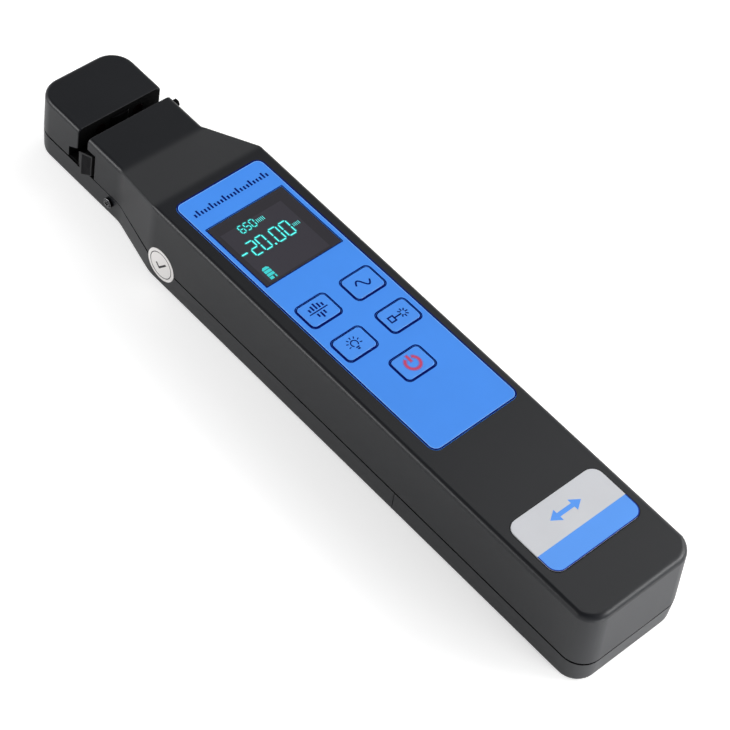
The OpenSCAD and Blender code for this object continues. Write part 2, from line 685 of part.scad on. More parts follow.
// Finger lever: pad under the neck, hub on the pivot, forked arm up to the jaw's pin
module trigger() color([0.13, 0.13, 0.13]) difference() {
    tip = arm_h + arm_tip;
    web_x = spring_x - spring_r - rest_gap;
    union() {
        rod_y(-hub_w / 2, hub_w / 2, pivot_x, pivot_h, hub_r);
        translate([pivot_x, 0, pivot_h]) rotate([0, trigger_turn / 2, 0])
            block(-arm_t / 2, arm_t / 2, -arm_w / 2, arm_w / 2, 0, tip);
        block(pivot_x + pad_front, pivot_x + pad_reach, -pad_w / 2, pad_w / 2, pad_clear,
            pad_clear + pad_t);
        along_y(-web_t / 2, web_t / 2) polygon([[pivot_x + pad_front, pad_clear + pad_t / 2],
            [pivot_x, pivot_h], [pivot_x + hub_r / 2, pivot_h],
            [web_x, pad_clear + pad_t], [web_x, pad_clear + pad_t / 2]]);
        rod_z(pad_clear + pad_t / 2, spring_z + spring_peg_h, spring_x, 0,
            spring_r - spring_wire - rest_gap);
    }
    rod_y(-hub_w, hub_w, pivot_x, pivot_h, pivot_d / 2 + shaft_gap);
    translate([pivot_x, 0, pivot_h]) rotate([0, trigger_turn / 2, 0])
        block(-drive_d / 2 - fork_gap, drive_d / 2 + fork_gap, -arm_w, arm_w,
            arm_h - drive_d / 2 - fork_gap, tip + cut);
    for (i = [0 : pad_grooves - 1]) {
        x = pivot_x + pad_reach - (i + 1) * pad_groove_pitch;
        block(x, x + pad_groove_pitch / 2, -pad_w, pad_w, pad_clear - cut, pad_clear + pad_groove);
    }
}

module trigger_pin() color([0.35, 0.35, 0.36]) difference() {
    union() {
        rod_y(-neck_y, neck_y - rest_gap, pivot_x, pivot_h, pivot_d / 2);
        rod_y(-neck_y - pin_head_t, -neck_y, pivot_x, pivot_h, pin_head_r);
    }
    for (turn = [0, 90]) translate([pivot_x, -neck_y - pin_head_t, pivot_h]) rotate([0, turn, 0])
        block(-pin_head_r / 2, pin_head_r / 2, -cut, pin_cross, -pin_cross / 2, pin_cross / 2);
}

module trigger_spring() color([0.7, 0.7, 0.72]) difference() {
    rod_z(spring_z, spring_top_z, spring_x, 0, spring_r);
    rod_z(spring_z - cut, spring_top_z + cut, spring_x, 0, spring_r - spring_wire);
}

module bend_anvil() color([0.75, 0.75, 0.78]) {
    z0 = seam_h + anvil_low;
    block(slot_x0 - anvil_depth, slot_x0, -anvil_w / 2, anvil_w / 2, z0, neck_roof_z - rest_gap);
    intersection() {
        rod_z(z0, neck_roof_z - rest_gap, slot_x0 + anvil_bulge - anvil_r, 0, anvil_r);
        block(slot_x0 - rest_gap, slot_x0 + 2 * anvil_bulge, -anvil_w / 2, anvil_w / 2, z0,
            neck_roof_z - rest_gap);
    }
}

module detector_lenses() color([0.4, 0.1, 0.15]) for (side = [-1, 1])
    rod_x(slot_x0 - lens_t, slot_x0, side * detector_y, seam_h + detector_h, lens_r);

module light_detectors() color([0.8, 0.7, 0.4]) for (side = [-1, 1])
    rod_x(head_block_x, head_block_x + detector_len, side * detector_y, seam_h + detector_h, detector_r);

module detector_board() color([0.1, 0.4, 0.2]) block(head_block_x - sensor_board_t, head_block_x,
    -sensor_board_w / 2, sensor_board_w / 2, seam_h + sensor_board_low,
    seam_h + sensor_board_low + sensor_board_h);

module head_flex() color([0.75, 0.5, 0.2]) {
    z0 = shell_t + rest_gap;
    x0 = head_block_x - flex_w;
    x1 = board_x0 + flex_w;
    for (p = [[x0, x0 + flex_w, z0, seam_h + sensor_board_low], [x0, x1, z0, z0 + flex_w],
        [x1 - flex_w, x1, z0, board_z]])
        block(p[0], p[1], -flex_y - flex_t / 2, flex_t / 2 - flex_y, p[2], p[3]);
}

module laser_port() color([0.8, 0.8, 0.8]) difference() {
    rod_x(head_x, head_x + port_len, 0, seam_h + port_h, port_r);
    rod_x(head_x - cut, head_x + port_bore_len, 0, seam_h + port_h, port_bore_r);
}

module laser_diode() color([0.8, 0.7, 0.4])
    rod_x(head_x + port_len, head_x + port_len + diode_len, 0, seam_h + port_h, diode_r);

module main_board() color([0.1, 0.4, 0.2]) difference() {
    block(board_x0, board_x0 + board_len, -board_w / 2, board_w / 2, board_z, board_top_z);
    for (p = board_screw_places)
        rod_z(board_z - cut, board_top_z + cut, p[0], p[1], inner_screw_r + rest_gap);
}

module board_chips() color([0.08, 0.08, 0.08]) {
    x = board_x0 + chip_row_back;
    for (p = [[0, 0, chip_big], [chip_big, chip_mid, chip_mid], [chip_big, -chip_mid, chip_small],
        [-chip_row_back + chip_big, 0, chip_mid]])
        block(x + p[0] - p[2] / 2, x + p[0] + p[2] / 2, p[1] - p[2] / 2, p[1] + p[2] / 2,
            board_z - chip_t, board_z);
}

module key_switches() color([0.3, 0.3, 0.3]) on_panel() for (p = key_places) translate([p[0], p[1], 0]) {
    block(-switch_side / 2, switch_side / 2, -switch_side / 2, switch_side / 2, board_top_z,
        board_top_z + switch_h);
    rod_z(board_top_z + switch_h / 2, plunger_top_z, 0, 0, plunger_r);
}

module beeper() color([0.1, 0.1, 0.1])
    rod_z(board_z - beeper_h, board_z, board_x0 + beeper_back, 0, beeper_r);

module display_glass() color([0.25, 0.3, 0.3]) on_panel() translate([window_x, 0, 0])
    block(-window_len / 2 - glass_margin, window_len / 2 + glass_margin, -window_w / 2 - glass_margin,
        window_w / 2 + glass_margin, glass_z, glass_z + glass_t);

module display_frame() color([0.85, 0.85, 0.85]) on_panel() translate([window_x, 0, 0]) difference() {
    x = window_len / 2 + glass_margin;
    y = window_w / 2 + glass_margin;
    block(-x, x, -y, y, board_top_z, glass_z);
    block(frame_rim - x, x - frame_rim, frame_rim - y, y - frame_rim, board_top_z - cut, glass_z + cut);
}

module battery_tray() color([0.2, 0.2, 0.22]) difference() {
    union() {
        block(tray_x0, tray_x1, -tray_wing_y, tray_wing_y, tray_roof_z, tray_roof_z + tray_t);
        for (x = [tray_x0, tray_x1 - tray_t])
            block(x, x + tray_t, -tray_web_y, tray_web_y, rail_low + rail_t, tray_roof_z);
        for (side = [-1, 1]) {
            block(tray_x0, tray_x1, side > 0 ? tray_web_y : -tray_web_y - tray_t,
                side > 0 ? tray_web_y + tray_t : -tray_web_y, rail_low, tray_roof_z);
            block(tray_x0 + rail_end, tray_x1 - rail_end, side > 0 ? tray_web_y : -tray_wing_y,
                side > 0 ? tray_wing_y : -tray_web_y, rail_low, rail_low + rail_t);
        }
    }
    for (p = tray_screw_places)
        rod_z(tray_roof_z - cut, tray_roof_z + tray_t + cut, p[0], p[1], inner_screw_r + rest_gap);
}

// A cell with its nub towards +X (way 1) or -X (way -1), from x0 to x0 + cell_len
module cell(x0, y, way) {
    rod_x(x0 + (way > 0 ? 0 : cell_nub), x0 + cell_len - (way > 0 ? cell_nub : 0), y, cell_z, cell_d / 2);
    rod_x(x0, x0 + cell_len, y, cell_z, cell_nub_r);
}
module battery_cells() color([0.7, 0.55, 0.2]) {
    x = tray_room_x0 + contact_t;
    cell(x + contact_spring_len, cell_y, 1);
    cell(x, -cell_y, -1);
}

module contact_plates() color([0.8, 0.8, 0.82]) {
    x = tray_room_x0;
    w = cell_y + contact_spring_r;
    z0 = cell_z - contact_spring_r;
    z1 = cell_z + contact_spring_r;
    block(x, x + contact_t, -w, w, z0, z1);
    for (side = [-1, 1]) block(x + tray_room_len - contact_t, x + tray_room_len,
        side > 0 ? cell_gap : -w, side > 0 ? w : -cell_gap, z0, z1);
}

module contact_springs() color([0.8, 0.8, 0.82]) {
    x = tray_room_x0 + contact_t;
    for (p = [[x, cell_y], [x + cell_len, -cell_y]]) difference() {
        rod_x(p[0], p[0] + contact_spring_len, p[1], cell_z, contact_spring_r);
        rod_x(p[0] - cut, p[0] + contact_spring_len + cut, p[1], cell_z,
            contact_spring_r - contact_spring_t);
    }
}

module battery_leads() color([0.7, 0.1, 0.1]) for (side = [-1, 1])
    rod_x(board_x0 + board_len - lead_lap, tray_x0, side * lead_y, board_z - lead_r, lead_r);

// A screw whose head lies below z, with its shank up to z1
module screw(p, z, z1, head_r, head_t, r) color([0.4, 0.4, 0.42]) difference() {
    union() {
        rod_z(z - head_t, z, p[0], p[1], head_r);
        rod_z(z - head_t / 2, z1, p[0], p[1], r);
    }
    for (turn = [0, 90]) translate([p[0], p[1], z - head_t]) rotate([0, 0, turn])
        block(-head_r * cross_share, head_r * cross_share, -head_r * cross_arm_share / 2,
            head_r * cross_arm_share / 2, -cut, head_t * cross_share);
}
module case_screws() for (p = case_posts)
    screw(p, case_screw_sink, seam_h + case_screw_grip - rest_gap, case_screw_head_r, case_screw_head_t,
        case_screw_r);
module inner_screws() for (p = inner_screw_places)
    screw(p, p[2], p[2] + inner_screw_len, inner_screw_head_r, inner_screw_head_t, inner_screw_r);

upper_shell();
head_cap();
lower_shell();
battery_door();
face_panel();
display_window();
key_wave();
key_units();
key_lamp();
key_laser();
key_power();
end_plate();
seal_sticker();
jaw_slide();
fibre_pad();
drive_pin();
lock_screw();
jaw_guide();
trigger();
trigger_pin();
trigger_spring();
bend_anvil();
detector_lenses();
light_detectors();
detector_board();
head_flex();
laser_port();
laser_diode();
main_board();
board_chips();
key_switches();
beeper();
display_glass();
display_frame();
battery_tray();
battery_cells();
contact_plates();
contact_springs();
battery_leads();
case_screws();
inner_screws();
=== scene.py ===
# %% [markdown]
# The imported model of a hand-held optical fibre identifier is the frame for this scene.
# Its bodies already move, so each dressed piece only has to ride on the right one.
# The sizes below come from the frame's own boxes, which keeps the looks inside the solids.

# %% Load the frame
import math
import bmesh
import bpy
from mathutils import Matrix, Vector


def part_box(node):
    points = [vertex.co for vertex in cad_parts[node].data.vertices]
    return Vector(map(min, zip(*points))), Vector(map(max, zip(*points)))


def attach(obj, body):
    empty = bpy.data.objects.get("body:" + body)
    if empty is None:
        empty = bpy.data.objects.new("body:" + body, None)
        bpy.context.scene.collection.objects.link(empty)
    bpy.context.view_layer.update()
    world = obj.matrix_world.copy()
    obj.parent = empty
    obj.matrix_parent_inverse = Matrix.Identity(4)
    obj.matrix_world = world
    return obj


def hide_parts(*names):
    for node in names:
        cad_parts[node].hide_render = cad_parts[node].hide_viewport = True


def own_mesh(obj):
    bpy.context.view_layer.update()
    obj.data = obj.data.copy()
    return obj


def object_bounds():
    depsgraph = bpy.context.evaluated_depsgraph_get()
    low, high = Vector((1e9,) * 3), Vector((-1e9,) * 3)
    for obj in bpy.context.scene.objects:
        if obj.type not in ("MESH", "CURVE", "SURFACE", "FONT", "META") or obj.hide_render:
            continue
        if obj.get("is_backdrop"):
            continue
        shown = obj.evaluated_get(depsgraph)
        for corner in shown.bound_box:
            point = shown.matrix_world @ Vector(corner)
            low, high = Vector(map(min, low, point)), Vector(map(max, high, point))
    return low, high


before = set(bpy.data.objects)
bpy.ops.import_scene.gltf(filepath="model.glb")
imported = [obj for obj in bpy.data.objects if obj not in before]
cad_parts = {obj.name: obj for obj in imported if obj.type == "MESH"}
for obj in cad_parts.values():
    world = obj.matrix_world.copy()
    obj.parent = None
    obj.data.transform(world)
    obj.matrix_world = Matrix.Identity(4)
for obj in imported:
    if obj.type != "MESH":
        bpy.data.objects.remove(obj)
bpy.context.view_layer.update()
MM = 0.001
KEYS = ["key_wave", "key_units", "key_lamp", "key_laser", "key_power"]


def limits(node):
    """Lowest and highest corner of a node, in millimetres."""
    low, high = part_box(node)
    return low / MM, high / MM


# %% [markdown]
# Moulded plastic is never one flat colour: a fine spark-eroded grain breaks up its gloss,
# hands polish its corners, and dust settles on what faces up. The edge mask for worn corners
# also paints a glint along the edges of the screws and the keys. These effects come back in
# most finishes, so each is a node group that is built once and gets its own values later.
# A group hands out masks, heights and colours only. The shaders stay in the materials.

# %% A small helper for node groups
def new_group(name, inputs, outputs):
    """A shader node group with float inputs; outputs are (name, socket type) pairs."""
    group = bpy.data.node_groups.new(name, "ShaderNodeTree")
    for label, value in inputs:
        socket = group.interface.new_socket(label, in_out="INPUT", socket_type="NodeSocketFloat")
        socket.default_value = value
    for label, kind in outputs:
        group.interface.new_socket(label, in_out="OUTPUT", socket_type=kind)
    return group, group.nodes.new("NodeGroupInput"), group.nodes.new("NodeGroupOutput")


def wire(tree, start, end):
    tree.links.new(start, end)


def maths(tree, how, first, second=None):
    """A Math node whose inputs are sockets or plain numbers."""
    node = tree.nodes.new("ShaderNodeMath")
    node.operation = how
    for k, value in enumerate((first, second)):
        if value is None:
            continue
        if isinstance(value, (int, float)):
            node.inputs[k].default_value = value
        else:
            wire(tree, value, node.inputs[k])
    return node.outputs[0]


def object_noise(tree, scale, detail, stretch=(1, 1, 1)):
    """Noise that sticks to the piece; scale is a socket or a number, per metre."""
    where = tree.nodes.new("ShaderNodeTexCoord")
    mapping = tree.nodes.new("ShaderNodeMapping")
    mapping.inputs["Scale"].default_value = stretch
    noise = tree.nodes.new("ShaderNodeTexNoise")
    noise.inputs["Detail"].default_value = detail
    wire(tree, where.outputs["Object"], mapping.inputs["Vector"])
    wire(tree, mapping.outputs["Vector"], noise.inputs["Vector"])
    if isinstance(scale, (int, float)):
        noise.inputs["Scale"].default_value = scale
    else:
        wire(tree, scale, noise.inputs["Scale"])
    return noise.outputs["Fac"]


print("helpers for groups:", [f.__name__ for f in (new_group, wire, maths, object_noise)])

# %% [markdown]
# Three effects are enough for this object. The grain gives a height for Bump and a slow drift
# in gloss. The edge mask compares a bevelled normal with the true one, so it finds outer edges
# on any shape; it stands for wear, and where its colour is light, for a painted glint. The dust
# looks at which way the surface faces and breaks that up with noise.

# %% Grain, wear and dust as groups
def build_grain():
    """Grain of a moulded or printed skin: a height for Bump and a slow drift in gloss."""
    group, given, made = new_group("skin_grain", [("Scale", 3500), ("Drift", 0.06)],
                                   [("Height", "NodeSocketFloat"), ("Gloss", "NodeSocketFloat")])
    fine = object_noise(group, given.outputs["Scale"], 2)
    slow = object_noise(group, 45, 3)
    wire(group, fine, made.inputs["Height"])
    centred = maths(group, "SUBTRACT", slow, 0.5)
    wire(group, maths(group, "MULTIPLY", centred, given.outputs["Drift"]), made.inputs["Gloss"])
    return group


def build_wear_and_glint():
    """Where hands wear edges, and on some finishes a painted glint: 1 along outer edges, broken up
    by noise.
    """
    group, given, made = new_group("edge_rub_and_glint", [("Width", 0.0004), ("Break", 900)],
                                   [("Mask", "NodeSocketFloat")])
    soft = group.nodes.new("ShaderNodeBevel")
    soft.samples = 4
    wire(group, given.outputs["Width"], soft.inputs["Radius"])
    sharp = group.nodes.new("ShaderNodeNewGeometry")
    turn = group.nodes.new("ShaderNodeVectorMath")
    turn.operation = "DOT_PRODUCT"
    wire(group, soft.outputs["Normal"], turn.inputs[0])
    wire(group, sharp.outputs["Normal"], turn.inputs[1])
    edge = maths(group, "MULTIPLY", maths(group, "SUBTRACT", 1, turn.outputs["Value"]), 4)
    broken = maths(group, "MULTIPLY", edge, object_noise(group, given.outputs["Break"], 3))
    wire(group, maths(group, "MINIMUM", broken, 1), made.inputs["Mask"])
    return group


def build_dust():
    """Faint dust on what faces up."""
    group, given, made = new_group("settled_dust", [("Amount", 0.1), ("Scale", 260)],
                                   [("Mask", "NodeSocketFloat")])
    place = group.nodes.new("ShaderNodeNewGeometry")
    split = group.nodes.new("ShaderNodeSeparateXYZ")
    wire(group, place.outputs["Normal"], split.inputs[0])
    up = maths(group, "MAXIMUM", split.outputs["Z"], 0)
    patchy = maths(group, "POWER", object_noise(group, given.outputs["Scale"], 5), 3)
    lying = maths(group, "MULTIPLY", up, patchy)
    wire(group, maths(group, "MULTIPLY", lying, given.outputs["Amount"]), made.inputs["Mask"])
    return group


GRAIN, WEAR_AND_GLINT, DUST = build_grain(), build_wear_and_glint(), build_dust()
print("effect groups:", [g.name for g in (GRAIN, WEAR_AND_GLINT, DUST)])

# %% [markdown]
# One function makes every finish: a Principled shader whose colour, roughness and normal
# are fed by the groups. What differs from finish to finish is only the numbers, and a number
# that is the same all over the surface is set straight on the shader's socket.

# %% A finish from its numbers
BUMP_DEPTH = 0.00005
COAT_ROUGH = 0.12
SHADE_SPREAD = 0.06
DUST_COLOUR = (0.42, 0.41, 0.39)


def finish(name, colour, rough, metallic=0, gloss=0.5, grain=3500, bump=0.06, drift=0.06,
           rub_and_glint=0.0, rub_and_glint_colour=None, dust=0.0, coat=0.0, glow=0.0, clear=0.0, spread=(1, 1, 1)):
    """A Principled material with its colour as linear RGB. rub_and_glint and dust are how strong
    those two effects are; the first stands for wear, and where its colour is light, for a
    painted glint."""
    material = bpy.data.materials.new(name)
    material.use_nodes = True
    tree = material.node_tree
    shader = tree.nodes["Principled BSDF"]
    shader.inputs["Metallic"].default_value = metallic
    shader.inputs["Specular IOR Level"].default_value = gloss
    shader.inputs["Coat Weight"].default_value = coat
    shader.inputs["Coat Roughness"].default_value = COAT_ROUGH
    shader.inputs["Transmission Weight"].default_value = clear
    skin = tree.nodes.new("ShaderNodeGroup")
    skin.node_tree = GRAIN
    skin.inputs["Scale"].default_value = grain
    skin.inputs["Drift"].default_value = drift
    shade = tree.nodes.new("ShaderNodeMix")
    shade.data_type = "RGBA"
    shade.inputs["A"].default_value = (*[c * (1 - SHADE_SPREAD) for c in colour], 1)
    shade.inputs["B"].default_value = (*[min(c * (1 + SHADE_SPREAD), 1) for c in colour], 1)
    wire(tree, object_noise(tree, 90, 4, spread), shade.inputs["Factor"])
    tint = shade.outputs["Result"]
    for strength, effect, light in ((rub_and_glint, WEAR_AND_GLINT, rub_and_glint_colour), (dust, DUST, DUST_COLOUR)):
        if strength <= 0:
            continue
        mask = tree.nodes.new("ShaderNodeGroup")
        mask.node_tree = effect
        mixer = tree.nodes.new("ShaderNodeMix")
        mixer.data_type = "RGBA"
        mixer.inputs["B"].default_value = (*light, 1)
        wire(tree, maths(tree, "MULTIPLY", mask.outputs["Mask"], strength), mixer.inputs["Factor"])
        wire(tree, tint, mixer.inputs["A"])
        tint = mixer.outputs["Result"]
    wire(tree, tint, shader.inputs["Base Color"])
    wire(tree, maths(tree, "ADD", skin.outputs["Gloss"], rough), shader.inputs["Roughness"])
    relief = tree.nodes.new("ShaderNodeBump")
    relief.inputs["Strength"].default_value = bump
    relief.inputs["Distance"].default_value = BUMP_DEPTH
    wire(tree, skin.outputs["Height"], relief.inputs["Height"])
    wire(tree, relief.outputs["Normal"], shader.inputs["Normal"])
    if glow > 0:
        wire(tree, tint, shader.inputs["Emission Color"])
        shader.inputs["Emission Strength"].default_value = glow
    return material


print("every finish comes from", finish.__name__, "and its relief is", BUMP_DEPTH / MM, "mm deep")

# %% [markdown]
# The case is black moulded plastic with a fine grain, which goes lighter at a flat angle.
# The face is a satin printed film, its keys are domed in the same film, and the window is
# smoked and polished. Inside are solder mask, tinned metal, clear cells and rubber.

# %% The finishes
LOOKS = {
    "case": finish("case_moulding", (0.0066, 0.0074, 0.0096), 0.36, gloss=0.42, grain=2600,
                   bump=0.12, rub_and_glint=0.5, rub_and_glint_colour=(0.03, 0.03, 0.034), dust=0.02),
    # The slot's matt black is painted shade, for the slot, the seam groove and other hollows.
    "gap": finish("slot_painted_shade", (0.0012, 0.0012, 0.0014), 0.8, gloss=0.08, grain=1800, bump=0.2),
    "jaw": finish("jaw_moulding", (0.010, 0.010, 0.011), 0.5, gloss=0.35, grain=1800, bump=0.4,
                  rub_and_glint=0.6, rub_and_glint_colour=(0.05, 0.05, 0.055)),
    "grip": finish("grip_texture", (0.008, 0.008, 0.009), 0.6, gloss=0.12, grain=1500, bump=0.9),
    "blue": finish("face_film", (0.056, 0.268, 0.86), 0.4, gloss=0.3, grain=1500, bump=0.05),
    # Key film: the lighter blue along the rims is wear and a painted highlight.
    "key_blue": finish("key_film", (0.062, 0.28, 0.87), 0.3, gloss=0.4, grain=1200, bump=0.05,
                       rub_and_glint=0.6, rub_and_glint_colour=(0.16, 0.42, 0.95)),
    "pale_line": finish("film_edge_painted_highlight", (0.20, 0.46, 0.95), 0.4, gloss=0.3, grain=1500, bump=0.05),
    "navy": finish("ink_and_painted_shade", (0.0010, 0.008, 0.135), 0.6, gloss=0.04),
    "red": finish("power_ink", (0.54, 0.055, 0.13), 0.4, gloss=0.3),
    "window": finish("smoked_window", (0.034, 0.032, 0.038), 0.14, gloss=0.45, bump=0.01,
                     drift=0.03),
    "field": finish("display_field", (0.045, 0.042, 0.052), 0.16, gloss=0.45, bump=0.01),
    "plum": finish("power_halo", (0.20, 0.15, 0.50), 0.4, gloss=0.3),
    "cyan": finish("lit_segment", (0.09, 0.80, 0.76), 0.4, bump=0.01, glow=0.4),
    "cyan_dim": finish("lit_battery", (0.03, 0.50, 0.50), 0.4, bump=0.01, glow=0.3),
    "teal": finish("segment_halo", (0.018, 0.115, 0.12), 0.3, bump=0.01),
    "badge": finish("badge_film", (0.60, 0.61, 0.64), 0.35, gloss=0.4, bump=0.03),
    "badge_blue": finish("badge_band", (0.095, 0.325, 0.90), 0.35, gloss=0.3, bump=0.03),
    "badge_edge": finish("badge_rim_painted_shade", (0.005, 0.03, 0.30), 0.5, gloss=0.15, bump=0.03),
    "seal": finish("seal_paper", (0.78, 0.76, 0.75), 0.55, gloss=0.3, grain=5000, bump=0.1),
    "seal_ink": finish("seal_ink", (0.02, 0.02, 0.022), 0.6),
    "steel": finish("ground_steel", (0.52, 0.52, 0.54), 0.3, metallic=1, grain=6000, bump=0.08,
                    rub_and_glint=0.3, rub_and_glint_colour=(0.8, 0.8, 0.8), spread=(1, 12, 1)),
    # Blackened steel: its light edges are wear and a painted glint.
    "dark_steel": finish("blackened_steel", (0.05, 0.05, 0.055), 0.33, metallic=0.85, grain=5000,
                         bump=0.1, rub_and_glint=1.0, rub_and_glint_colour=(0.45, 0.45, 0.46)),
    "board": finish("solder_mask", (0.012, 0.11, 0.045), 0.32, coat=0.3, grain=900, bump=0.12),
    "chip": finish("chip_moulding", (0.012, 0.012, 0.013), 0.5, grain=4000, bump=0.2),
    "cell_glass": finish("display_cell", (0.20, 0.24, 0.22), 0.08, bump=0.01, clear=0.5),
    "frame": finish("white_frame", (0.66, 0.66, 0.63), 0.45, grain=3000, bump=0.1),
    # Detector lenses: near black, painted shade of the slot over dark red glass.
    "lens": finish("red_lens_painted_shade", (0.003, 0.0008, 0.0010), 0.2, gloss=0.1, bump=0.01),
    "shaded_steel": finish("shaded_steel", (0.03, 0.03, 0.032), 0.35, metallic=1, grain=6000,
                           bump=0.08),
    # Screw heads: the light edges are partly wear and partly a painted glint.
    "screw": finish("screw_steel", (0.06, 0.06, 0.065), 0.25, metallic=1, grain=5000, bump=0.1,
                    rub_and_glint=1.0, rub_and_glint_colour=(0.85, 0.85, 0.86)),
    "gold": finish("plated_can", (0.78, 0.55, 0.22), 0.22, metallic=1, grain=7000, bump=0.03),
    "sleeve": finish("turned_sleeve", (0.68, 0.68, 0.7), 0.2, metallic=1, grain=900, bump=0.06,
                     spread=(30, 1, 1)),
    "tray": finish("tray_moulding", (0.02, 0.02, 0.022), 0.48, gloss=0.35, grain=2200, bump=0.2),
    "wrap": finish("cell_wrap", (0.42, 0.20, 0.035), 0.22, metallic=0.7, grain=500, bump=0.03),
    "wrap_dark": finish("cell_wrap_dark", (0.018, 0.018, 0.02), 0.25, gloss=0.5, bump=0.03),
    "bright": finish("nickel_plate", (0.7, 0.7, 0.71), 0.18, metallic=1, grain=6000, bump=0.04),
    "pad": finish("soft_pad", (0.42, 0.42, 0.40), 0.75, gloss=0.25, grain=1500, bump=0.5),
    "lead": finish("lead_sleeve", (0.42, 0.02, 0.02), 0.42, grain=2500, bump=0.08),
    "flex": finish("flex_film", (0.46, 0.20, 0.03), 0.25, coat=0.3, grain=900, bump=0.05),
}
print(len(LOOKS), "finishes")

# %% [markdown]
# Shapes are drawn in millimetres as small meshes, and scaled to metres when a piece is done.
# Four ways of drawing cover this object: a stack of rings for plates with rounded edges,
# a profile that is carried along an axis, a profile that is turned, and a tube along a path.

# %% Plates
def ring_skin(rings):
    """A closed skin through rings of equal length, with a flat face at each end."""
    shape = bmesh.new()
    rows = [[shape.verts.new(point) for point in ring] for ring in rings]
    count = len(rows[0])
    for below, above in zip(rows, rows[1:]):
        for k in range(count):
            n = (k + 1) % count
            shape.faces.new((below[k], below[n], above[n], above[k]))
    shape.faces.new(rows[0][::-1])
    shape.faces.new(rows[-1])
    return shape


def rounded_ring(half_x, half_y, radius, inset, z, steps=6):
    r = max(radius - inset, 0.02)
    ring = []
    for quarter, (a, b) in enumerate(((1, 1), (-1, 1), (-1, -1), (1, -1))):
        for k in range(steps + 1):
            turn = math.radians(90 * (quarter + k / steps))
            ring.append((a * (half_x - inset - r) + r * math.cos(turn),
                         b * (half_y - inset - r) + r * math.sin(turn), z))
    return ring


def plate(half_x, half_y, radius, z0, z1, ease=0.15, foot=0.05, steps=3):
    """A flat plate with round corners, an eased top edge and a slightly eased foot."""
    rings = []
    for k in range(steps + 1):
        turn = math.pi / 2 * k / steps
        rings.append((foot * (1 - math.sin(turn)), z0 + foot * (1 - math.cos(turn))))
    for k in range(steps + 1):
        turn = math.pi / 2 * k / steps
        rings.append((ease * (1 - math.cos(turn)), z1 - ease * (1 - math.sin(turn))))
    return ring_skin([rounded_ring(half_x, half_y, radius, inset, z) for inset, z in rings])


print("plates come from", ring_skin.__name__, "and", rounded_ring.__name__)

# %% [markdown]
# No moulded or cut edge is sharp, and a sharp one looks wrong because it catches no light. So
# blocks and carried outlines get their edges bevelled as soon as they are drawn.

# %% Blocks and carried outlines
def eased(shape, width, steps=2, least=30):
    """Rounds every edge that turns by more than so many degrees."""
    bmesh.ops.recalc_face_normals(shape, faces=shape.faces[:])
    edges = [e for e in shape.edges
             if len(e.link_faces) == 2 and e.calc_face_angle(0) > math.radians(least)]
    if width > 0:
        bmesh.ops.bevel(shape, geom=edges, offset=width, segments=steps, profile=0.5,
                        affect="EDGES", clamp_overlap=True)
    return shape


def block(x0, x1, y0, y1, z0, z1, ease=0.15):
    shape = bmesh.new()
    bmesh.ops.create_cube(shape, size=1)
    shape.transform(Matrix.Translation(((x0 + x1) / 2, (y0 + y1) / 2, (z0 + z1) / 2))
                    @ Matrix.Diagonal((x1 - x0, y1 - y0, z1 - z0, 1)))
    return eased(shape, ease)


def carried(outline, axis, start, end, ease=0.0):
    """An outline carried along an axis. It is drawn in the other two axes, in their own order."""
    order = {"x": lambda u, v, w: (w, u, v), "y": lambda u, v, w: (u, w, v),
             "z": lambda u, v, w: (u, v, w)}[axis]
    return eased(ring_skin([[order(u, v, w) for u, v in outline] for w in (start, end)]), ease)


print("edges are bevelled by", eased.__name__)

# %% [markdown]
# Pins, screws, bores and the ferrule sleeve are turned on a lathe, so here too a profile is
# turned round an axis. Springs are wire, which is a ring that follows a path.

# %% Turned shapes and wire
def turned(profile, axis, centre, steps=40, hollow=False):
    """A profile of (place along, radius) turned round an axis through centre."""
    order = {"x": lambda a, b, w: (w, a, b), "y": lambda a, b, w: (a, w, b),
             "z": lambda a, b, w: (a, b, w)}[axis]
    move = Matrix.Translation(centre)
    rings = []
    for along, radius in profile:
        turns = [2 * math.pi * k / steps for k in range(steps)]
        rings.append([move @ Vector(order(radius * math.cos(t), radius * math.sin(t), along))
                      for t in turns])
    if not hollow:
        return ring_skin(rings)
    shape = bmesh.new()
    rows = [[shape.verts.new(point) for point in ring] for ring in rings]
    for below, above in zip(rows, rows[1:] + rows[:1]):
        for k in range(steps):
            n = (k + 1) % steps
            shape.faces.new((below[k], below[n], above[n], above[k]))
    return shape


def tube(path, radius, sides=10):
    """A round wire along a path of points."""
    points = [Vector(p) for p in path]
    rings, side = [], None
    for k, point in enumerate(points):
        ahead = (points[min(k + 1, len(points) - 1)] - points[max(k - 1, 0)]).normalized()
        if side is None:
            side = ahead.orthogonal().normalized()
        side = (side - ahead * side.dot(ahead)).normalized()
        up = ahead.cross(side)
        rings.append([point + radius * (math.cos(t) * side + math.sin(t) * up)
                      for t in [2 * math.pi * n / sides for n in range(sides)]])
    return ring_skin(rings)


print("turned shapes and wire are ready:", turned.__name__, tube.__name__)

# %% [markdown]
# Openings are cut with Blender's Boolean modifier on closed shapes. The solids are drawn so
# that cutters always run past the wall that they open, because faces that only touch give
# a Boolean nothing to decide on. The results go straight back into a mesh.

# %% Cut, join and finish a piece
def as_object(shape, name="scratch"):
    bmesh.ops.recalc_face_normals(shape, faces=shape.faces[:])
    mesh = bpy.data.meshes.new(name)
    shape.to_mesh(mesh)
    shape.free()
    thing = bpy.data.objects.new(name, mesh)
    bpy.context.scene.collection.objects.link(thing)
    return thing


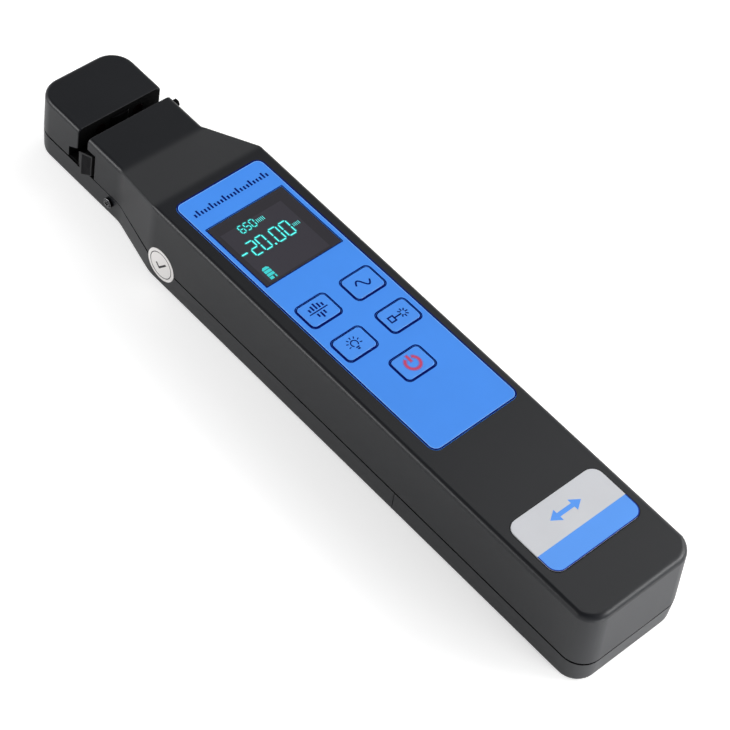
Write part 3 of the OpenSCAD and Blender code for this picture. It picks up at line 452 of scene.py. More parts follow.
def combine(base, others, how="DIFFERENCE"):
    """The base shape with the others cut from it or joined to it, as a new shape."""
    stock = as_object(base)
    tools = [as_object(other) for other in others]
    for tool in tools:
        step = stock.modifiers.new("step", "BOOLEAN")
        step.operation = how
        step.solver = "EXACT"
        step.object = tool
    bpy.context.view_layer.update()
    result = bmesh.new()
    result.from_mesh(stock.evaluated_get(bpy.context.evaluated_depsgraph_get()).to_mesh())
    for thing in [stock] + tools:
        bpy.data.objects.remove(thing)
    bmesh.ops.remove_doubles(result, verts=result.verts[:], dist=1e-4)
    return result


def merged(shapes):
    """Several shapes in one, each left as it is."""
    whole = bmesh.new()
    for shape in shapes:
        part = bpy.data.meshes.new("part")
        shape.to_mesh(part)
        shape.free()
        whole.from_mesh(part)
        bpy.data.meshes.remove(part)
    return whole


def make(name, shape, body, slot, look, stands_for=(), sharp=35, place=None, even=False,
         in_painted_shade=None):
    """Turns a shape into a named piece on a body, with its finish and the nodes it stands for.
    in_painted_shade(middle, normal) picks the faces that get the slot's matt black, which is
    painted shade."""
    bmesh.ops.recalc_face_normals(shape, faces=shape.faces[:])
    if place is not None:
        shape.transform(place)
    shape.transform(Matrix.Scale(MM, 4))
    mesh = bpy.data.meshes.new(name)
    shape.to_mesh(mesh)
    shape.free()
    mesh.shade_smooth()
    mesh.set_sharp_from_angle(angle=math.radians(sharp))
    piece = bpy.data.objects.new(name, mesh)
    bpy.context.scene.collection.objects.link(piece)
    mesh.materials.append(LOOKS[look])
    if in_painted_shade:
        mesh.materials.append(LOOKS["gap"])
        for face in mesh.polygons:
            face.material_index = int(in_painted_shade(face.center / MM, face.normal))
    if even:
        weigh = piece.modifiers.new("even_normals", "WEIGHTED_NORMAL")
        weigh.keep_sharp = True
    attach(piece, body)
    if stands_for:
        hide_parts(*stands_for)
    return piece


print("a piece is finished by", make.__name__, "with one of", len(LOOKS), "finishes")

# %% [markdown]
# The case is a long flat moulding: a head and neck that are narrower and lower, a ramp, and
# the body. It could be modelled as a box and sculpted by hand, but a moulding like this is a
# side line and a height line that run along the length. So only the bends of those two lines
# are given here, and the outer sizes come from the frame's boxes.

# %% The lines of the case
upper_low, upper_high = limits("upper_shell")
head_low, head_high = limits("head_cap")
door_low, door_high = limits("battery_door")
HEAD_X, TAIL_X = head_low.x, upper_high.x
SLOT_HEAD, SLOT_NECK = head_high.x, upper_low.x
NECK_Y, BODY_Y = head_high.y, upper_high.y
NECK_Z, BODY_Z, SEAM_Z = head_high.z, upper_high.z, upper_low.z
RAMP_0, RAMP_1 = -67.9, -50.5
HEAD_R, TAIL_R = 6.5, 6.0
WALL, ROOF = 1.8, 1.6
GROOVE = 0.55
FAR_OUT = 1.0
SOFT_BEND = 1.6
FOOT_R, RIM_R, RIM_DRAW = 1.9, 0.1, 0.32
TAIL_LEAN = 1.3
CORNER_STEPS = 9


def run_between(x, x0, x1, v0, v1, soft):
    """v0 before x0 and v1 after x1, straight between them, with the two bends softened."""
    def run(u):
        return 0 if u < -soft else u if u > soft else (u + soft) ** 2 / (4 * soft)
    return v0 + (v1 - v0) / (x1 - x0) * (run(x - x0) - run(x - x1))


def half_width(x):
    return run_between(x, RAMP_0, RAMP_1, NECK_Y, BODY_Y, SOFT_BEND)


def top_line(x):
    return run_between(x, RAMP_0, RAMP_1, NECK_Z, BODY_Z, 1.0)


print("case lines run from", round(HEAD_X, 1), "to", round(TAIL_X, 1), "mm")

# %% [markdown]
# A wall is a stack of copies of the side line, drawn in a little for each rounding, and the
# far side is its mirror image. Each point of the line comes with its way out, so the same
# line can be drawn in by any amount.

# %% Walls from the side line
def side_line(x0, x1, ease0=0.0, ease1=0.0):
    """Points (x, y, normal x, normal y, drop) of the near side between two places."""
    line = []
    if x0 <= HEAD_X:
        for k in range(CORNER_STEPS + 1):
            turn = math.pi + math.pi / 2 * k / CORNER_STEPS
            line.append((HEAD_X + HEAD_R + HEAD_R * math.cos(turn),
                         HEAD_R - NECK_Y + HEAD_R * math.sin(turn),
                         math.cos(turn), math.sin(turn), 0))
    else:
        steps = [(0, 1), (0.3, 0.3), (1, 0)] if ease0 else [(0, 0)]
        line += [(x0 + a * ease0, -half_width(x0), 0, -1, b * ease0) for a, b in steps]
    line += [(x, -half_width(x), 0, -1, 0) for x in (SLOT_HEAD, SLOT_NECK)
             if x0 + 0.5 < x < x1 - 0.5]
    for bend in (RAMP_0, RAMP_1):
        for shift in (-SOFT_BEND, -SOFT_BEND / 2, 0, SOFT_BEND / 2, SOFT_BEND):
            if x0 + 0.5 < bend + shift < x1 - 0.5:
                line.append((bend + shift, -half_width(bend + shift), 0, -1, 0))
    if x1 >= TAIL_X:
        for k in range(CORNER_STEPS + 1):
            turn = 1.5 * math.pi + math.pi / 2 * k / CORNER_STEPS
            line.append((TAIL_X - TAIL_R + TAIL_R * math.cos(turn),
                         TAIL_R - BODY_Y + TAIL_R * math.sin(turn),
                         math.cos(turn), math.sin(turn), 0))
    else:
        steps = [(1, 0), (0.3, 0.3), (0, 1)] if ease1 else [(0, 0)]
        line += [(x1 - a * ease1, -half_width(x1), 0, -1, b * ease1) for a, b in steps]
    return line


def form(line, low, top, foot, crown, drawn=lambda z, nx: 0.0, steps=5):
    """A closed form between two heights, with rounded foot and crown, mirrored about the middle."""
    rows = []
    for part in ("foot", "crown"):
        for k in range(steps + 1):
            turn = math.pi / 2 * k / steps
            row = []
            for x, y, nx, ny, drop in line:
                if part == "foot":
                    z, inset = low + foot * (1 - math.cos(turn)), foot * (1 - math.sin(turn))
                else:
                    r = crown(x)
                    z, inset = top(x) - drop - r * (1 - math.sin(turn)), r * (1 - math.cos(turn))
                inset += drawn(z, nx)
                row.append((x - nx * inset, y - ny * (inset + drop), z))
            rows.append(row)
    shape = bmesh.new()
    near = [[shape.verts.new(p) for p in row] for row in rows]
    far = [[shape.verts.new((x, -y, z)) for x, y, z in row] for row in rows]
    last = len(line) - 1
    for k in range(len(rows) - 1):
        for i in range(last):
            shape.faces.new((near[k][i], near[k][i + 1], near[k + 1][i + 1], near[k + 1][i]))
            shape.faces.new((far[k][i + 1], far[k][i], far[k + 1][i], far[k + 1][i + 1]))
        for i in (0, last):
            shape.faces.new((near[k][i], near[k + 1][i], far[k + 1][i], far[k][i]))
    for k in (0, len(rows) - 1):
        for i in range(last):
            shape.faces.new((near[k][i], near[k][i + 1], far[k][i + 1], far[k][i]))
    return shape


print("a whole side line has", len(side_line(HEAD_X, TAIL_X)), "points")

# %% [markdown]
# The upper shell carries everything that is seen from above. Its long top edges have a soft
# rounding that catches the light, while the ramp's edges are crisp, and its tail leans in.
# The hollow inside is the same form again, one wall smaller. Posts for the screws hang from
# its roof. Then come the pockets for the face, the window, the keys and the badge.

# %% Upper shell
PANEL = Matrix.Translation((-1.3, 0.7, 0)) @ Matrix.Rotation(math.radians(0.6), 4, "Z")
KEY_PLACES = [(-0.9, 7.2), (-0.9, -7.2), (11.75, -7.2), (11.75, 7.2), (24.4, 0)]
WINDOW_X, WINDOW_L, WINDOW_W = -25.0, 22.3, 24.5
PLATE_X, BADGE_Y = 78.6, 0.3
SPRING_X, SPRING_TOP = -63.5, 16.0


def on_panel(shape, x=0, y=0):
    shape.transform(PANEL @ Matrix.Translation((x, y, 0)))
    return shape


def post(x, y, z0, z1, r):
    return turned([(z0, r), (z1, r)], "z", (x, y, 0), 24)


def upper_crown(x):
    return run_between(x, RAMP_0 - 0.4, RAMP_0 + 0.4, 1.25, 0.5, 0.3) \
        + run_between(x, RAMP_1 - 0.4, RAMP_1 + 0.4, 0, 0.6, 0.3) \
        + run_between(x, TAIL_X - 9, TAIL_X - 4, 0, 0.6, 1.0)


def tail_lean(z, nx):
    return TAIL_LEAN * max(nx, 0) * max(z - SEAM_Z, 0) / (BODY_Z - SEAM_Z)


outer = form(side_line(SLOT_NECK, TAIL_X, ease0=0.3), SEAM_Z, top_line, 0.14, upper_crown,
             tail_lean)
hollow = form(side_line(SLOT_NECK - FAR_OUT, TAIL_X), SEAM_Z - FAR_OUT,
              lambda x: top_line(x) - ROOF - 0.1, 0.2, lambda x: 0.5,
              lambda z, nx: WALL + tail_lean(z, nx))
shell = combine(outer, [hollow])
posts = [post(x, side * y, z0, z1, r) for side in (-1, 1) for x, y, z0, z1, r in (
    (-43, 11.4, 17.5, 24.5, 2.2), (27, 11.4, 17.5, 24.5, 2.2), (47.1, 13.9, 15.4, 24.5, 1.9),
    (93.4, 13.9, 15.4, 24.5, 1.9), (34.6, 12.6, SEAM_Z + 0.01, 24.5, 2.5),
    (-58, 10.6, SEAM_Z + 0.01, 21.9, 2.5))]
posts.append(post(SPRING_X, 0, SPRING_TOP, 20.5, 2.5))
shell = combine(shell, posts, "UNION")
cuts = [on_panel(plate(46.79, 14.14, 2.34, 25.0, BODY_Z + FAR_OUT)),
        on_panel(block(-11.15, 11.15, -12.25, 12.25, 24.55, BODY_Z + 0.5, 0), WINDOW_X),
        on_panel(block(-10.25, 10.25, -11.35, 11.35, 22.7, BODY_Z, 0), WINDOW_X),
        plate(8.42, 14.47, 3.02, 25.325, BODY_Z + FAR_OUT),
        block(SLOT_NECK - FAR_OUT, -78.0, -NECK_Y - FAR_OUT, -10.55, SEAM_Z - FAR_OUT, 16.7, 0.0),
        block(SLOT_NECK - FAR_OUT, -79.4, 10.55, NECK_Y + FAR_OUT, 16.2, 18.2, 0.0)]
rim = ring_skin([rounded_ring(8.42, 14.47, 3.02, inset, z) for inset, z in
                 ((0, BODY_Z - 0.22), (-0.22, BODY_Z + 0.01), (-0.22, BODY_Z + 0.5))])
cuts.append(rim)
for cut in (cuts[3], rim):
    cut.transform(Matrix.Translation((PLATE_X, BADGE_Y, 0)))
cuts += [on_panel(plate(3.75, 4.75, 1.4, 22.7, BODY_Z + 0.2), x, y) for x, y in KEY_PLACES]
shell = combine(shell, cuts)
# The neck's face towards the slot is painted shade, in the slot's matt black.
make("upper_moulding", shell, "case", "case_black", "case", ["upper_shell"], even=True,
     in_painted_shade=lambda middle, normal: normal.x < -0.9 and middle.x < SLOT_NECK + 0.1)
print("upper moulding has its pockets for", len(KEY_PLACES), "keys")

# %% [markdown]
# The head block stands on the far side of the fibre slot. It is a separate moulding in the
# photo, with fuller rounding at its front. The jaw's lip slides into a notch at its foot, and
# its slot face holds the bending anvil and, behind two small lenses, the light detectors.

# %% Head block
head = form(side_line(HEAD_X, SLOT_HEAD, ease1=0.3), SEAM_Z, top_line, 0.1, lambda x: 1.1)
head_hollow = form(side_line(HEAD_X, -90.3), SEAM_Z - FAR_OUT, lambda x: NECK_Z - ROOF, 0.2,
                   lambda x: 0.5, lambda z, nx: WALL)
notch = carried([(-88.3, SEAM_Z - 1), (-88.3, 11.7), (-85.0, 13.7), (-84.0, 13.7),
                 (-84.0, SEAM_Z - 1)], "y", -NECK_Y - 1, NECK_Y + 1)
head = combine(combine(head, [head_hollow]),
               [post(-96.5, side * 8.2, SEAM_Z + 0.01, 19.4, 2.5) for side in (-1, 1)], "UNION")
head_cuts = [notch, block(-87.1, -84, -3.1, 3.1, 14.9, 18.6, 0),
             turned([(-104, 2.625), (-100, 2.625)], "x", (0, 0, 13.4))]
for side in (-1, 1):
    head_cuts += [turned([(-91.3, 1.8), (-86.8, 1.8), (-86.8, 1.0), (-85.6, 1.0), (-85.6, 1.7),
                          (-84, 1.7)], "x", (0, side * 6, 16.3), 32)]
head = combine(head, head_cuts)
# The head's face towards the slot and its notch are painted shade, in the slot's matt black.
make("head_moulding", head, "case", "case_black", "case", ["head_cap"], even=True,
     in_painted_shade=lambda middle, normal: middle.x > -88.4 and abs(middle.y) < 12
     and (normal.x > 0.9 or middle.z < 13.8))
print("head block is cut by", len(head_cuts), "tools")

# %% [markdown]
# The lower half is one moulding from the head to the battery door. Its sides draw in a
# little towards the foot, which is what lets it leave the mould, and the foot is well
# rounded. Below the slot it has a deck, so that nothing falls into the case.

# %% Lower shell
def foot_draw(z, nx):
    return RIM_DRAW * (1 - min(z, SEAM_Z) / SEAM_Z)


def rim_line(x):
    """Height of the outer rim. It leaves a groove at head and body, and is nearly shut at
    the neck."""
    return SEAM_Z - run_between(x, SLOT_HEAD, SLOT_NECK, 0.6, 0.1, 0.5) \
        - run_between(x, RAMP_0, RAMP_1, 0, 0.42, 1.0)


LOWER_END = door_low.x - 0.2
lower = form(side_line(HEAD_X, LOWER_END), 0, rim_line, FOOT_R, lambda x: RIM_R, foot_draw)
inner_rim = form(side_line(HEAD_X, LOWER_END), 5, lambda x: SEAM_Z, 0.2, lambda x: 0.05,
                 lambda z, nx: GROOVE)
lower = combine(lower, [inner_rim], "UNION")
lower_hollow = form(side_line(HEAD_X, LOWER_END - WALL), WALL, lambda x: SEAM_Z + FAR_OUT, 0.5,
                    lambda x: 0.2, lambda z, nx: WALL)
lower = combine(lower, [lower_hollow])
SCREWS = [(x, side * y) for x, y in ((-96.5, 8.2), (-58, 10.6), (34.6, 12.6)) for side in (-1, 1)]
inner_parts = [post(x, y, 0.9, SEAM_Z - 0.01, 2.5) for x, y in SCREWS]
inner_parts.append(block(-90.3, SLOT_NECK, -12.4, 12.4, 6.4, SEAM_Z - 0.01, 0.1))
inner_parts += [block(-80.6, -60.6, y0, y1, 0.9, 7.2, 0) for y0, y1 in ((-12.4, -8.5), (8.5, 12.4))]
lower = combine(lower, inner_parts, "UNION")
lower_cuts = [turned([(-1, 2.1), (2.4, 2.1), (2.4, 1.1), (SEAM_Z + 1, 1.1)], "z", (x, y, 0), 32)
              for x, y in SCREWS]
lower_cuts += [block(-71.0, -52.85, -7, 7, -1, 3, 0),
               turned([(-14.5, 1.225), (14.5, 1.225)], "y", (-71.6, 0, 5.5), 32)]
lower = combine(lower, lower_cuts)
# Faces near the seam, in the groove and on the deck below the slot, are painted shade.
make("lower_moulding", lower, "case", "case_black", "case", ["lower_shell"], even=True,
     in_painted_shade=lambda middle, normal: middle.z > SEAM_Z - 0.6 and abs(middle.y) < BODY_Y - 0.3)
print("lower half ends at", round(LOWER_END, 1), "mm, with holes for", len(SCREWS), "screws")

# %% [markdown]
# The rear part of the lower half is the battery door, which slides off towards the tail. It
# goes on along the same lines, so the joint between the two is only a thin seam. Two hooks
# run over the rails of the battery tray, and the thumb grips five grooves in its underside.

# %% Battery door
door = form(side_line(door_low.x, TAIL_X), 0, rim_line, FOOT_R, lambda x: RIM_R, foot_draw)
door_rim = form(side_line(door_low.x, TAIL_X), 5, lambda x: door_high.z, 0.2, lambda x: 0.05,
                lambda z, nx: GROOVE)
door = combine(door, [door_rim], "UNION")
door_hollow = form(side_line(door_low.x - FAR_OUT, TAIL_X), WALL, lambda x: SEAM_Z + FAR_OUT, 0.5,
                   lambda x: 0.2, lambda z, nx: WALL)
door = combine(door, [door_hollow])
hooks = [block(51.1, 89.4, y0, y1, 5.1, 6.0, 0.1) for y0, y1 in ((-16.4, -13.9), (13.9, 16.4))]
door = combine(door, hooks, "UNION")
door = combine(door, [block(43.4 + 2 * k, 44.4 + 2 * k, -10.5, 10.5, -1, 0.35, 0.3)
                      for k in range(5)])
# Faces in the seam groove are painted shade, in the slot's matt black.
make("door_moulding", door, "door", "case_black", "case", ["battery_door"], even=True,
     in_painted_shade=lambda middle, normal: middle.z > SEAM_Z - 0.6 and middle.x < TAIL_X - 0.3
     and abs(middle.y) < BODY_Y - 0.3)
print("four mouldings are dressed")

# %% [markdown]
# The face is a thin printed panel let into the top. It has holes for the window and the keys.
# The dark outline round each key is ink on the film and the shadow of the gap, so there is
# an ink ring on the panel, partly painted shade, and a dark skirt on each key that fills the
# gap just below it with painted shade. The panel's edge has a navy ring of painted shade.

# %% Face panel with its ink
INK = 0.02
PANEL_Z = 25.6


def shifted(shape, x, y):
    shape.transform(Matrix.Translation((x, y, 0)))
    return shape


def ink(outline, z):
    """A thin printed shape on a surface at height z, drawn as (x, y) points."""
    return carried(outline, "z", z - INK, z + INK)


def flat_ring(half_x, half_y, radius, width, z):
    """A printed outline: the band between two rounded rectangles."""
    outside, inside = [[rounded_ring(half_x, half_y, radius, inset, height)
                        for height in (z - INK, z + INK)] for inset in (0, width)]
    shape = bmesh.new()
    rows = [[shape.verts.new(p) for p in ring]
            for ring in (outside[0], outside[1], inside[1], inside[0])]
    count = len(rows[0])
    for below, above in zip(rows, rows[1:] + rows[:1]):
        for k in range(count):
            n = (k + 1) % count
            shape.faces.new((below[k], below[n], above[n], above[k]))
    return shape


panel = plate(46.72, 14.07, 2.3, 25.0, PANEL_Z, 0.16, 0.03)
panel = combine(panel, [block(WINDOW_X - 11.15, WINDOW_X + 11.15, -12.25, 12.25, 24, 26, 0)]
                + [shifted(plate(3.75, 4.75, 1.4, 24, 26.5), x, y) for x, y in KEY_PLACES])
make("face_film", panel, "case", "panel_blue", "blue", ["face_panel"], place=PANEL, even=True)
TICKS, TICK_PITCH, TICK_X, TICK_HALF = 23, 1.05, -40.6, 0.26
# Ink rings round the keys, partly painted shade of the gaps, a ring of painted shade along the
# panel's edge, and a navy line round the window.
lines = [shifted(flat_ring(4.06, 5.06, 1.6, 0.31, PANEL_Z), x, y) for x, y in KEY_PLACES]
lines += [flat_ring(46.7, 14.05, 2.3, 0.38, PANEL_Z),
          shifted(flat_ring(11.4, 12.5, 0.3, 0.24, PANEL_Z), WINDOW_X, 0)]
for k in range(TICKS):
    tall = 1.9 if k % 4 == 1 else 1.1
    y = (k - TICKS // 2) * TICK_PITCH + 0.2
    lines.append(ink([(TICK_X - tall, y - TICK_HALF), (TICK_X, y - TICK_HALF),
                      (TICK_X, y + TICK_HALF), (TICK_X - tall, y + TICK_HALF)], PANEL_Z))
make("face_lines", merged(lines), "case", "panel_blue", "navy", place=PANEL)
# A pale line of painted highlight along the panel's eased edge.
make("face_edge_painted_highlight", flat_ring(46.3, 13.65, 1.9, 0.14, PANEL_Z), "case", "panel_blue", "pale_line",
     place=PANEL)
print("face panel with", TICKS, "ruler ticks in place of its title")

# %% [markdown]
# The window is a smoked lens with a display behind it. The lit figures are segments, as on
# any small meter, so they are drawn as seven bars with slanted ends. They lie flush in the
# lens. The units beside them are left off, and a row of small bars stands for each.

# %% Window and its figures
LENS_Z = 25.55
SEGMENTS = {"0": "abcdef", "2": "abged", "5": "afgcd", "6": "afgecd", "-": "g"}


def across(share):
    return (share - 0.5) * WINDOW_W


def down(share):
    return WINDOW_X + (share - 0.5) * WINDOW_L


def bars(figure, y0, y1, x0, x1, thick, grow=0.0, gap=0.1):
    """The lit bars of one figure in a box; the reader's up is -X and right is +Y."""
    middle = (x0 + x1) / 2
    half, wide, start = thick / 2, thick / 2 + grow, gap - grow
    left, right = y0 + half, y1 - half
    rows = {"a": x0 + half, "g": middle, "d": x1 - half}
    shapes = []
    for name in SEGMENTS[figure]:
        if name in rows:
            centre, low, high = rows[name], left + start, right - start
        else:
            centre = left if name in "fe" else right
            low, high = (rows["a"], middle) if name in "fb" else (middle, rows["d"])
            low, high = low + start, high - start
        outline = [(low, centre), (low + wide, centre - wide), (high - wide, centre - wide),
                   (high, centre), (high - wide, centre + wide), (low + wide, centre + wide)]
        if name in rows:
            outline = [(b, a) for a, b in outline]
        shapes.append(ink(outline, LENS_Z - (0.2 * INK if grow else 0)))
    return shapes


def spot(y0, y1, x0, x1):
    return ink([(x0, y0), (x1, y0), (x1, y1), (x0, y1)], LENS_Z)


lens = shifted(plate(11.05, 12.15, 0.3, 24.56, LENS_Z, 0.05, 0.03), WINDOW_X, 0)
make("display_lens", lens, "case", "window_dark", "window", ["display_window"], place=PANEL,
     even=True)
field = ink([(down(0.156), across(0.06)), (down(0.97), across(0.06)), (down(0.97), across(0.86)),
             (down(0.156), across(0.86))], LENS_Z - 0.5 * INK)
make("display_field", field, "case", "window_dark", "field", place=PANEL)
READOUT = [
    ("650", ((0.262, 0.322), (0.334, 0.394), (0.406, 0.466)), (0.161, 0.279), 0.25),
    ("-", ((0.05, 0.155),), (0.42, 0.60), 0.44),
    ("2000", ((0.183, 0.284), (0.305, 0.408), (0.4825, 0.588), (0.617, 0.723)), (0.391, 0.610),
     0.36),
]
lit, halo, battery = [], [], []
for text, places, (high, low), thick in READOUT:
    for figure, (a, b) in zip(text, places):
        box = (across(a), across(b), down(high), down(low))
        lit += bars(figure, *box, thick)
        halo += bars(figure, *box, thick, 0.28)
lit.append(spot(across(0.435), across(0.455), down(0.585), down(0.610)))
for k in range(5):
    y = across(0.487) + 0.5 * k
    lit.append(spot(y, y + 0.16, down(0.20), down(0.255)))
    y = across(0.745) + 0.45 * k
    lit.append(spot(y, y + 0.13, down(0.485), down(0.53)))
y0, y1 = across(0.10), across(0.185)
for k in range(4):
    x0 = down(0.772 + 0.047 * k)
    x1 = x0 + 0.86
    if k == 0:
        battery.append(ink([(x0, y0 + 0.5), (x0, y1 - 0.5), (x0 + 0.5, y1), (x1, y1), (x1, y0),
                            (x0 + 0.5, y0)], LENS_Z))
    elif k < 3:
        battery.append(spot(y0, y1, x0, x1))
    else:
        battery += [spot(y0, y0 + 1.1, x0, x1), spot(y1 - 0.4, y1, x0, x1)]
make("display_battery", merged(battery), "case", "window_dark", "cyan_dim", place=PANEL)
# The teal halo round each lit bar is painted glow.
make("display_halo", merged(halo), "case", "window_dark", "teal", place=PANEL)
make("display_figures", merged(lit), "case", "window_dark", "cyan", place=PANEL)
print(len(lit), "lit bars and marks")

# %% [markdown]
# Five keys stand a little over the face. Each is a cap with a rounded rim, so its edge shows
# as a bright line, helped by a painted highlight on the rim, and a dark skirt of painted shade
# fills the gap below. Plain signs are printed on them: a wave, bars over a rule, a lamp with
# rays, a beam with a burst, and a red power sign.

# %% Drawing printed signs
def stroke(points, width, z, closed=False):
    """A printed line along points, as one ribbon with mitred corners."""
    points = [Vector((*p, 0)) for p in points]
    count = len(points)
    left, right = [], []
    for k, point in enumerate(points):
        before = points[(k - 1) % count] if closed or k else None
        after = points[(k + 1) % count] if closed or k < count - 1 else None
        sides = [(b - a).normalized() for a, b in ((before, point), (point, after))
                 if a is not None and b is not None]
        along = (sides[0] + sides[-1]).normalized()
        out = Vector((-along.y, along.x, 0)) * (width / 2) / max(along.dot(sides[0]), 0.5)
        left.append(point + out)
        right.append(point - out)
    shape = bmesh.new()
    rows = []
    for line, height in ((left, z - INK), (left, z + INK), (right, z + INK), (right, z - INK)):
        rows.append([shape.verts.new((p.x, p.y, height)) for p in line])
    last = count if closed else count - 1
    for a, b in zip(rows, rows[1:] + rows[:1]):
        for k in range(last):
            n = (k + 1) % count
            shape.faces.new((a[k], a[n], b[n], b[k]))
    if not closed:
        for k in (0, count - 1):
            shape.faces.new([row[k] for row in rows])
    return shape


def arc(radius, start, end, steps=20):
    """Points on an arc, with angles in degrees from the reader's right, turning left."""
    turns = [math.radians(start + (end - start) * k / steps) for k in range(steps + 1)]
    return [(-radius * math.sin(t), radius * math.cos(t)) for t in turns]


SIGN_Z = 25.8
BEAM = 1.45
SIGNS = {
    "key_wave": [stroke([(-1.2 * math.sin(2 * math.pi * k / 24), -2.1 + 4.2 * k / 24)
                         for k in range(25)], 0.44, SIGN_Z)],
    "key_units": [stroke([(0, -2.8), (0, 2.8)], 0.34, SIGN_Z)]
    + [stroke([(-0.55, y), (-0.55 - tall, y)], 0.5, SIGN_Z)
       for y, tall in ((-2.0, 1.0), (-1.0, 1.5), (0, 1.9), (1.0, 1.5), (2.0, 1.0))]
    + [stroke([(0.6, y), (0.6 + tall, y)], 0.5, SIGN_Z)
       for y, tall in ((-1.0, 1.1), (0, 1.8), (1.0, 1.1))],
    "key_lamp": [stroke(arc(0.95, -50, 230), 0.3, SIGN_Z),
                 stroke([(1.2, -0.5), (1.2, 0.5)], 0.36, SIGN_Z),
                 stroke([(1.75, -0.35), (1.75, 0.35)], 0.4, SIGN_Z)]
    + [stroke([(-1.45 * math.sin(t), 1.45 * math.cos(t)), (-2.1 * math.sin(t), 2.1 * math.cos(t))],
              0.28, SIGN_Z) for t in [math.radians(a) for a in (-15, 22, 56, 90, 124, 158, 195)]],
    "key_laser": [stroke([(-0.8, -2.9), (-0.8, -1.4), (0.8, -1.4), (0.8, -2.9)], 0.4, SIGN_Z, True),
                  stroke([(0, -1.4), (0, 0.8)], 0.4, SIGN_Z)]
    + [stroke([(-0.6 * math.sin(t), BEAM + 0.6 * math.cos(t)),
               (-1.4 * math.sin(t), BEAM + 1.4 * math.cos(t))], 0.34, SIGN_Z)
       for t in [math.radians(45 * k) for k in range(8)]],
    "key_power": [stroke(arc(1.9, 122, 418, 30), 0.6, SIGN_Z),
                  stroke([(-2.5, 0), (-0.45, 0)], 0.56, SIGN_Z)],
}
POWER_HALO = [stroke(arc(1.9, 116, 424, 30), 1.15, SIGN_Z - 0.2 * INK),
              stroke([(-2.75, 0), (-0.2, 0)], 1.0, SIGN_Z - 0.2 * INK)]
print("signs for", sorted(SIGNS))

# %% [markdown]
# A key is a cap on a flange, with a short stem that reaches its switch. The flange is wider
# than the hole, so the key can't fall out. The sign and the skirt ride on the key's own body,
# and so they go down with it when it is pressed.

# %% Keys
for node, (x, y) in zip(KEYS, KEY_PLACES):
    cap = plate(3.45, 4.45, 1.1, 23.3, SIGN_Z, 0.22, 0.05, 4)
    flange = plate(4.2, 5.2, 1.1, 22.76, 23.64, 0.1)
    stem = turned([(22.66, 1.5), (22.9, 1.9), (23.3, 1.9)], "z", (0, 0, 0), 24)
    for shape in (cap, flange, stem):
        shape.transform(Matrix.Translation((x, y, 0)))
    make(node + "_cap", combine(cap, [flange, stem], "UNION"), node + "_cap", "key_blue",
         "key_blue", [node], place=PANEL, even=True)
    # The navy skirt is painted shade in the gap round the cap.
    skirt = merged([shifted(plate(3.72, 4.72, 1.35, 23.5, PANEL_Z - 0.1, 0.04), x, y),
                    shifted(plate(3.48, 4.48, 1.12, 23.6, SIGN_Z - 0.13, 0.02), x, y)])
    make(node + "_skirt", skirt, node + "_cap", "key_blue", "navy", place=PANEL)
    make(node + "_sign", shifted(merged(SIGNS[node]), x, y), node + "_cap", "key_blue",
         "red" if node == "key_power" else "navy", place=PANEL)
    if node == "key_power":
        make("key_power_halo", shifted(merged(POWER_HALO), x, y), "key_power_cap", "key_blue",
             "plum", place=PANEL)
print("keys:", KEYS)

# %% [markdown]
# Near the tail a badge lies in a shallow pocket, grey with a blue band. The letters on it
# are left off, and a plain arrow for light that runs both ways stands there.

# %% Badge
BADGE_Z = 25.67
BADGE_SHAPE = (8.32, 14.37, 2.95)
BAND_X, BAND_Y = 2.1, 14.27
badge = plate(*BADGE_SHAPE, 25.33, BADGE_Z, 0.1, 0.02)
make("badge_plate", shifted(badge, PLATE_X, BADGE_Y), "case", "plate_grey", "badge", ["end_plate"],
     even=True)
ring = [(x, y) for x, y, z in rounded_ring(*BADGE_SHAPE, 0.1, 0) if x > BAND_X]
upper = sorted([p for p in ring if p[1] > 0], key=lambda p: p[0])
lower = sorted([p for p in ring if p[1] <= 0], key=lambda p: -p[0])
edge = [(BAND_X, BAND_Y)] + upper + lower + [(BAND_X, -BAND_Y)]
make("badge_band", shifted(ink(edge[::-1], BADGE_Z), PLATE_X, BADGE_Y), "case", "plate_grey",
     "badge_blue")
# A navy line of painted shade along the band's outer edge.
make("badge_rim_painted_shade", shifted(stroke(edge, 0.26, BADGE_Z + 0.2 * INK), PLATE_X, BADGE_Y), "case",
     "plate_grey", "badge_edge")
tip, wing, half = 5.0, 2.3, 1.75
arrow = [(0, -tip), (-half, -wing), (-0.6, -wing), (-0.6, wing), (-half, wing), (0, tip),
         (half, wing), (0.6, wing), (0.6, -wing), (half, -wing)]
make("badge_arrow", shifted(ink(arrow, BADGE_Z), PLATE_X - 3.2, BADGE_Y), "case", "plate_grey",
     "badge_blue")
print("badge is", [2 * v for v in BADGE_SHAPE[:2]], "mm")

# %% [markdown]
# The seal is a small paper disc across the joint line, and shows whether the case was opened.
# Its words are left off, and a tick in a ring stands for them.

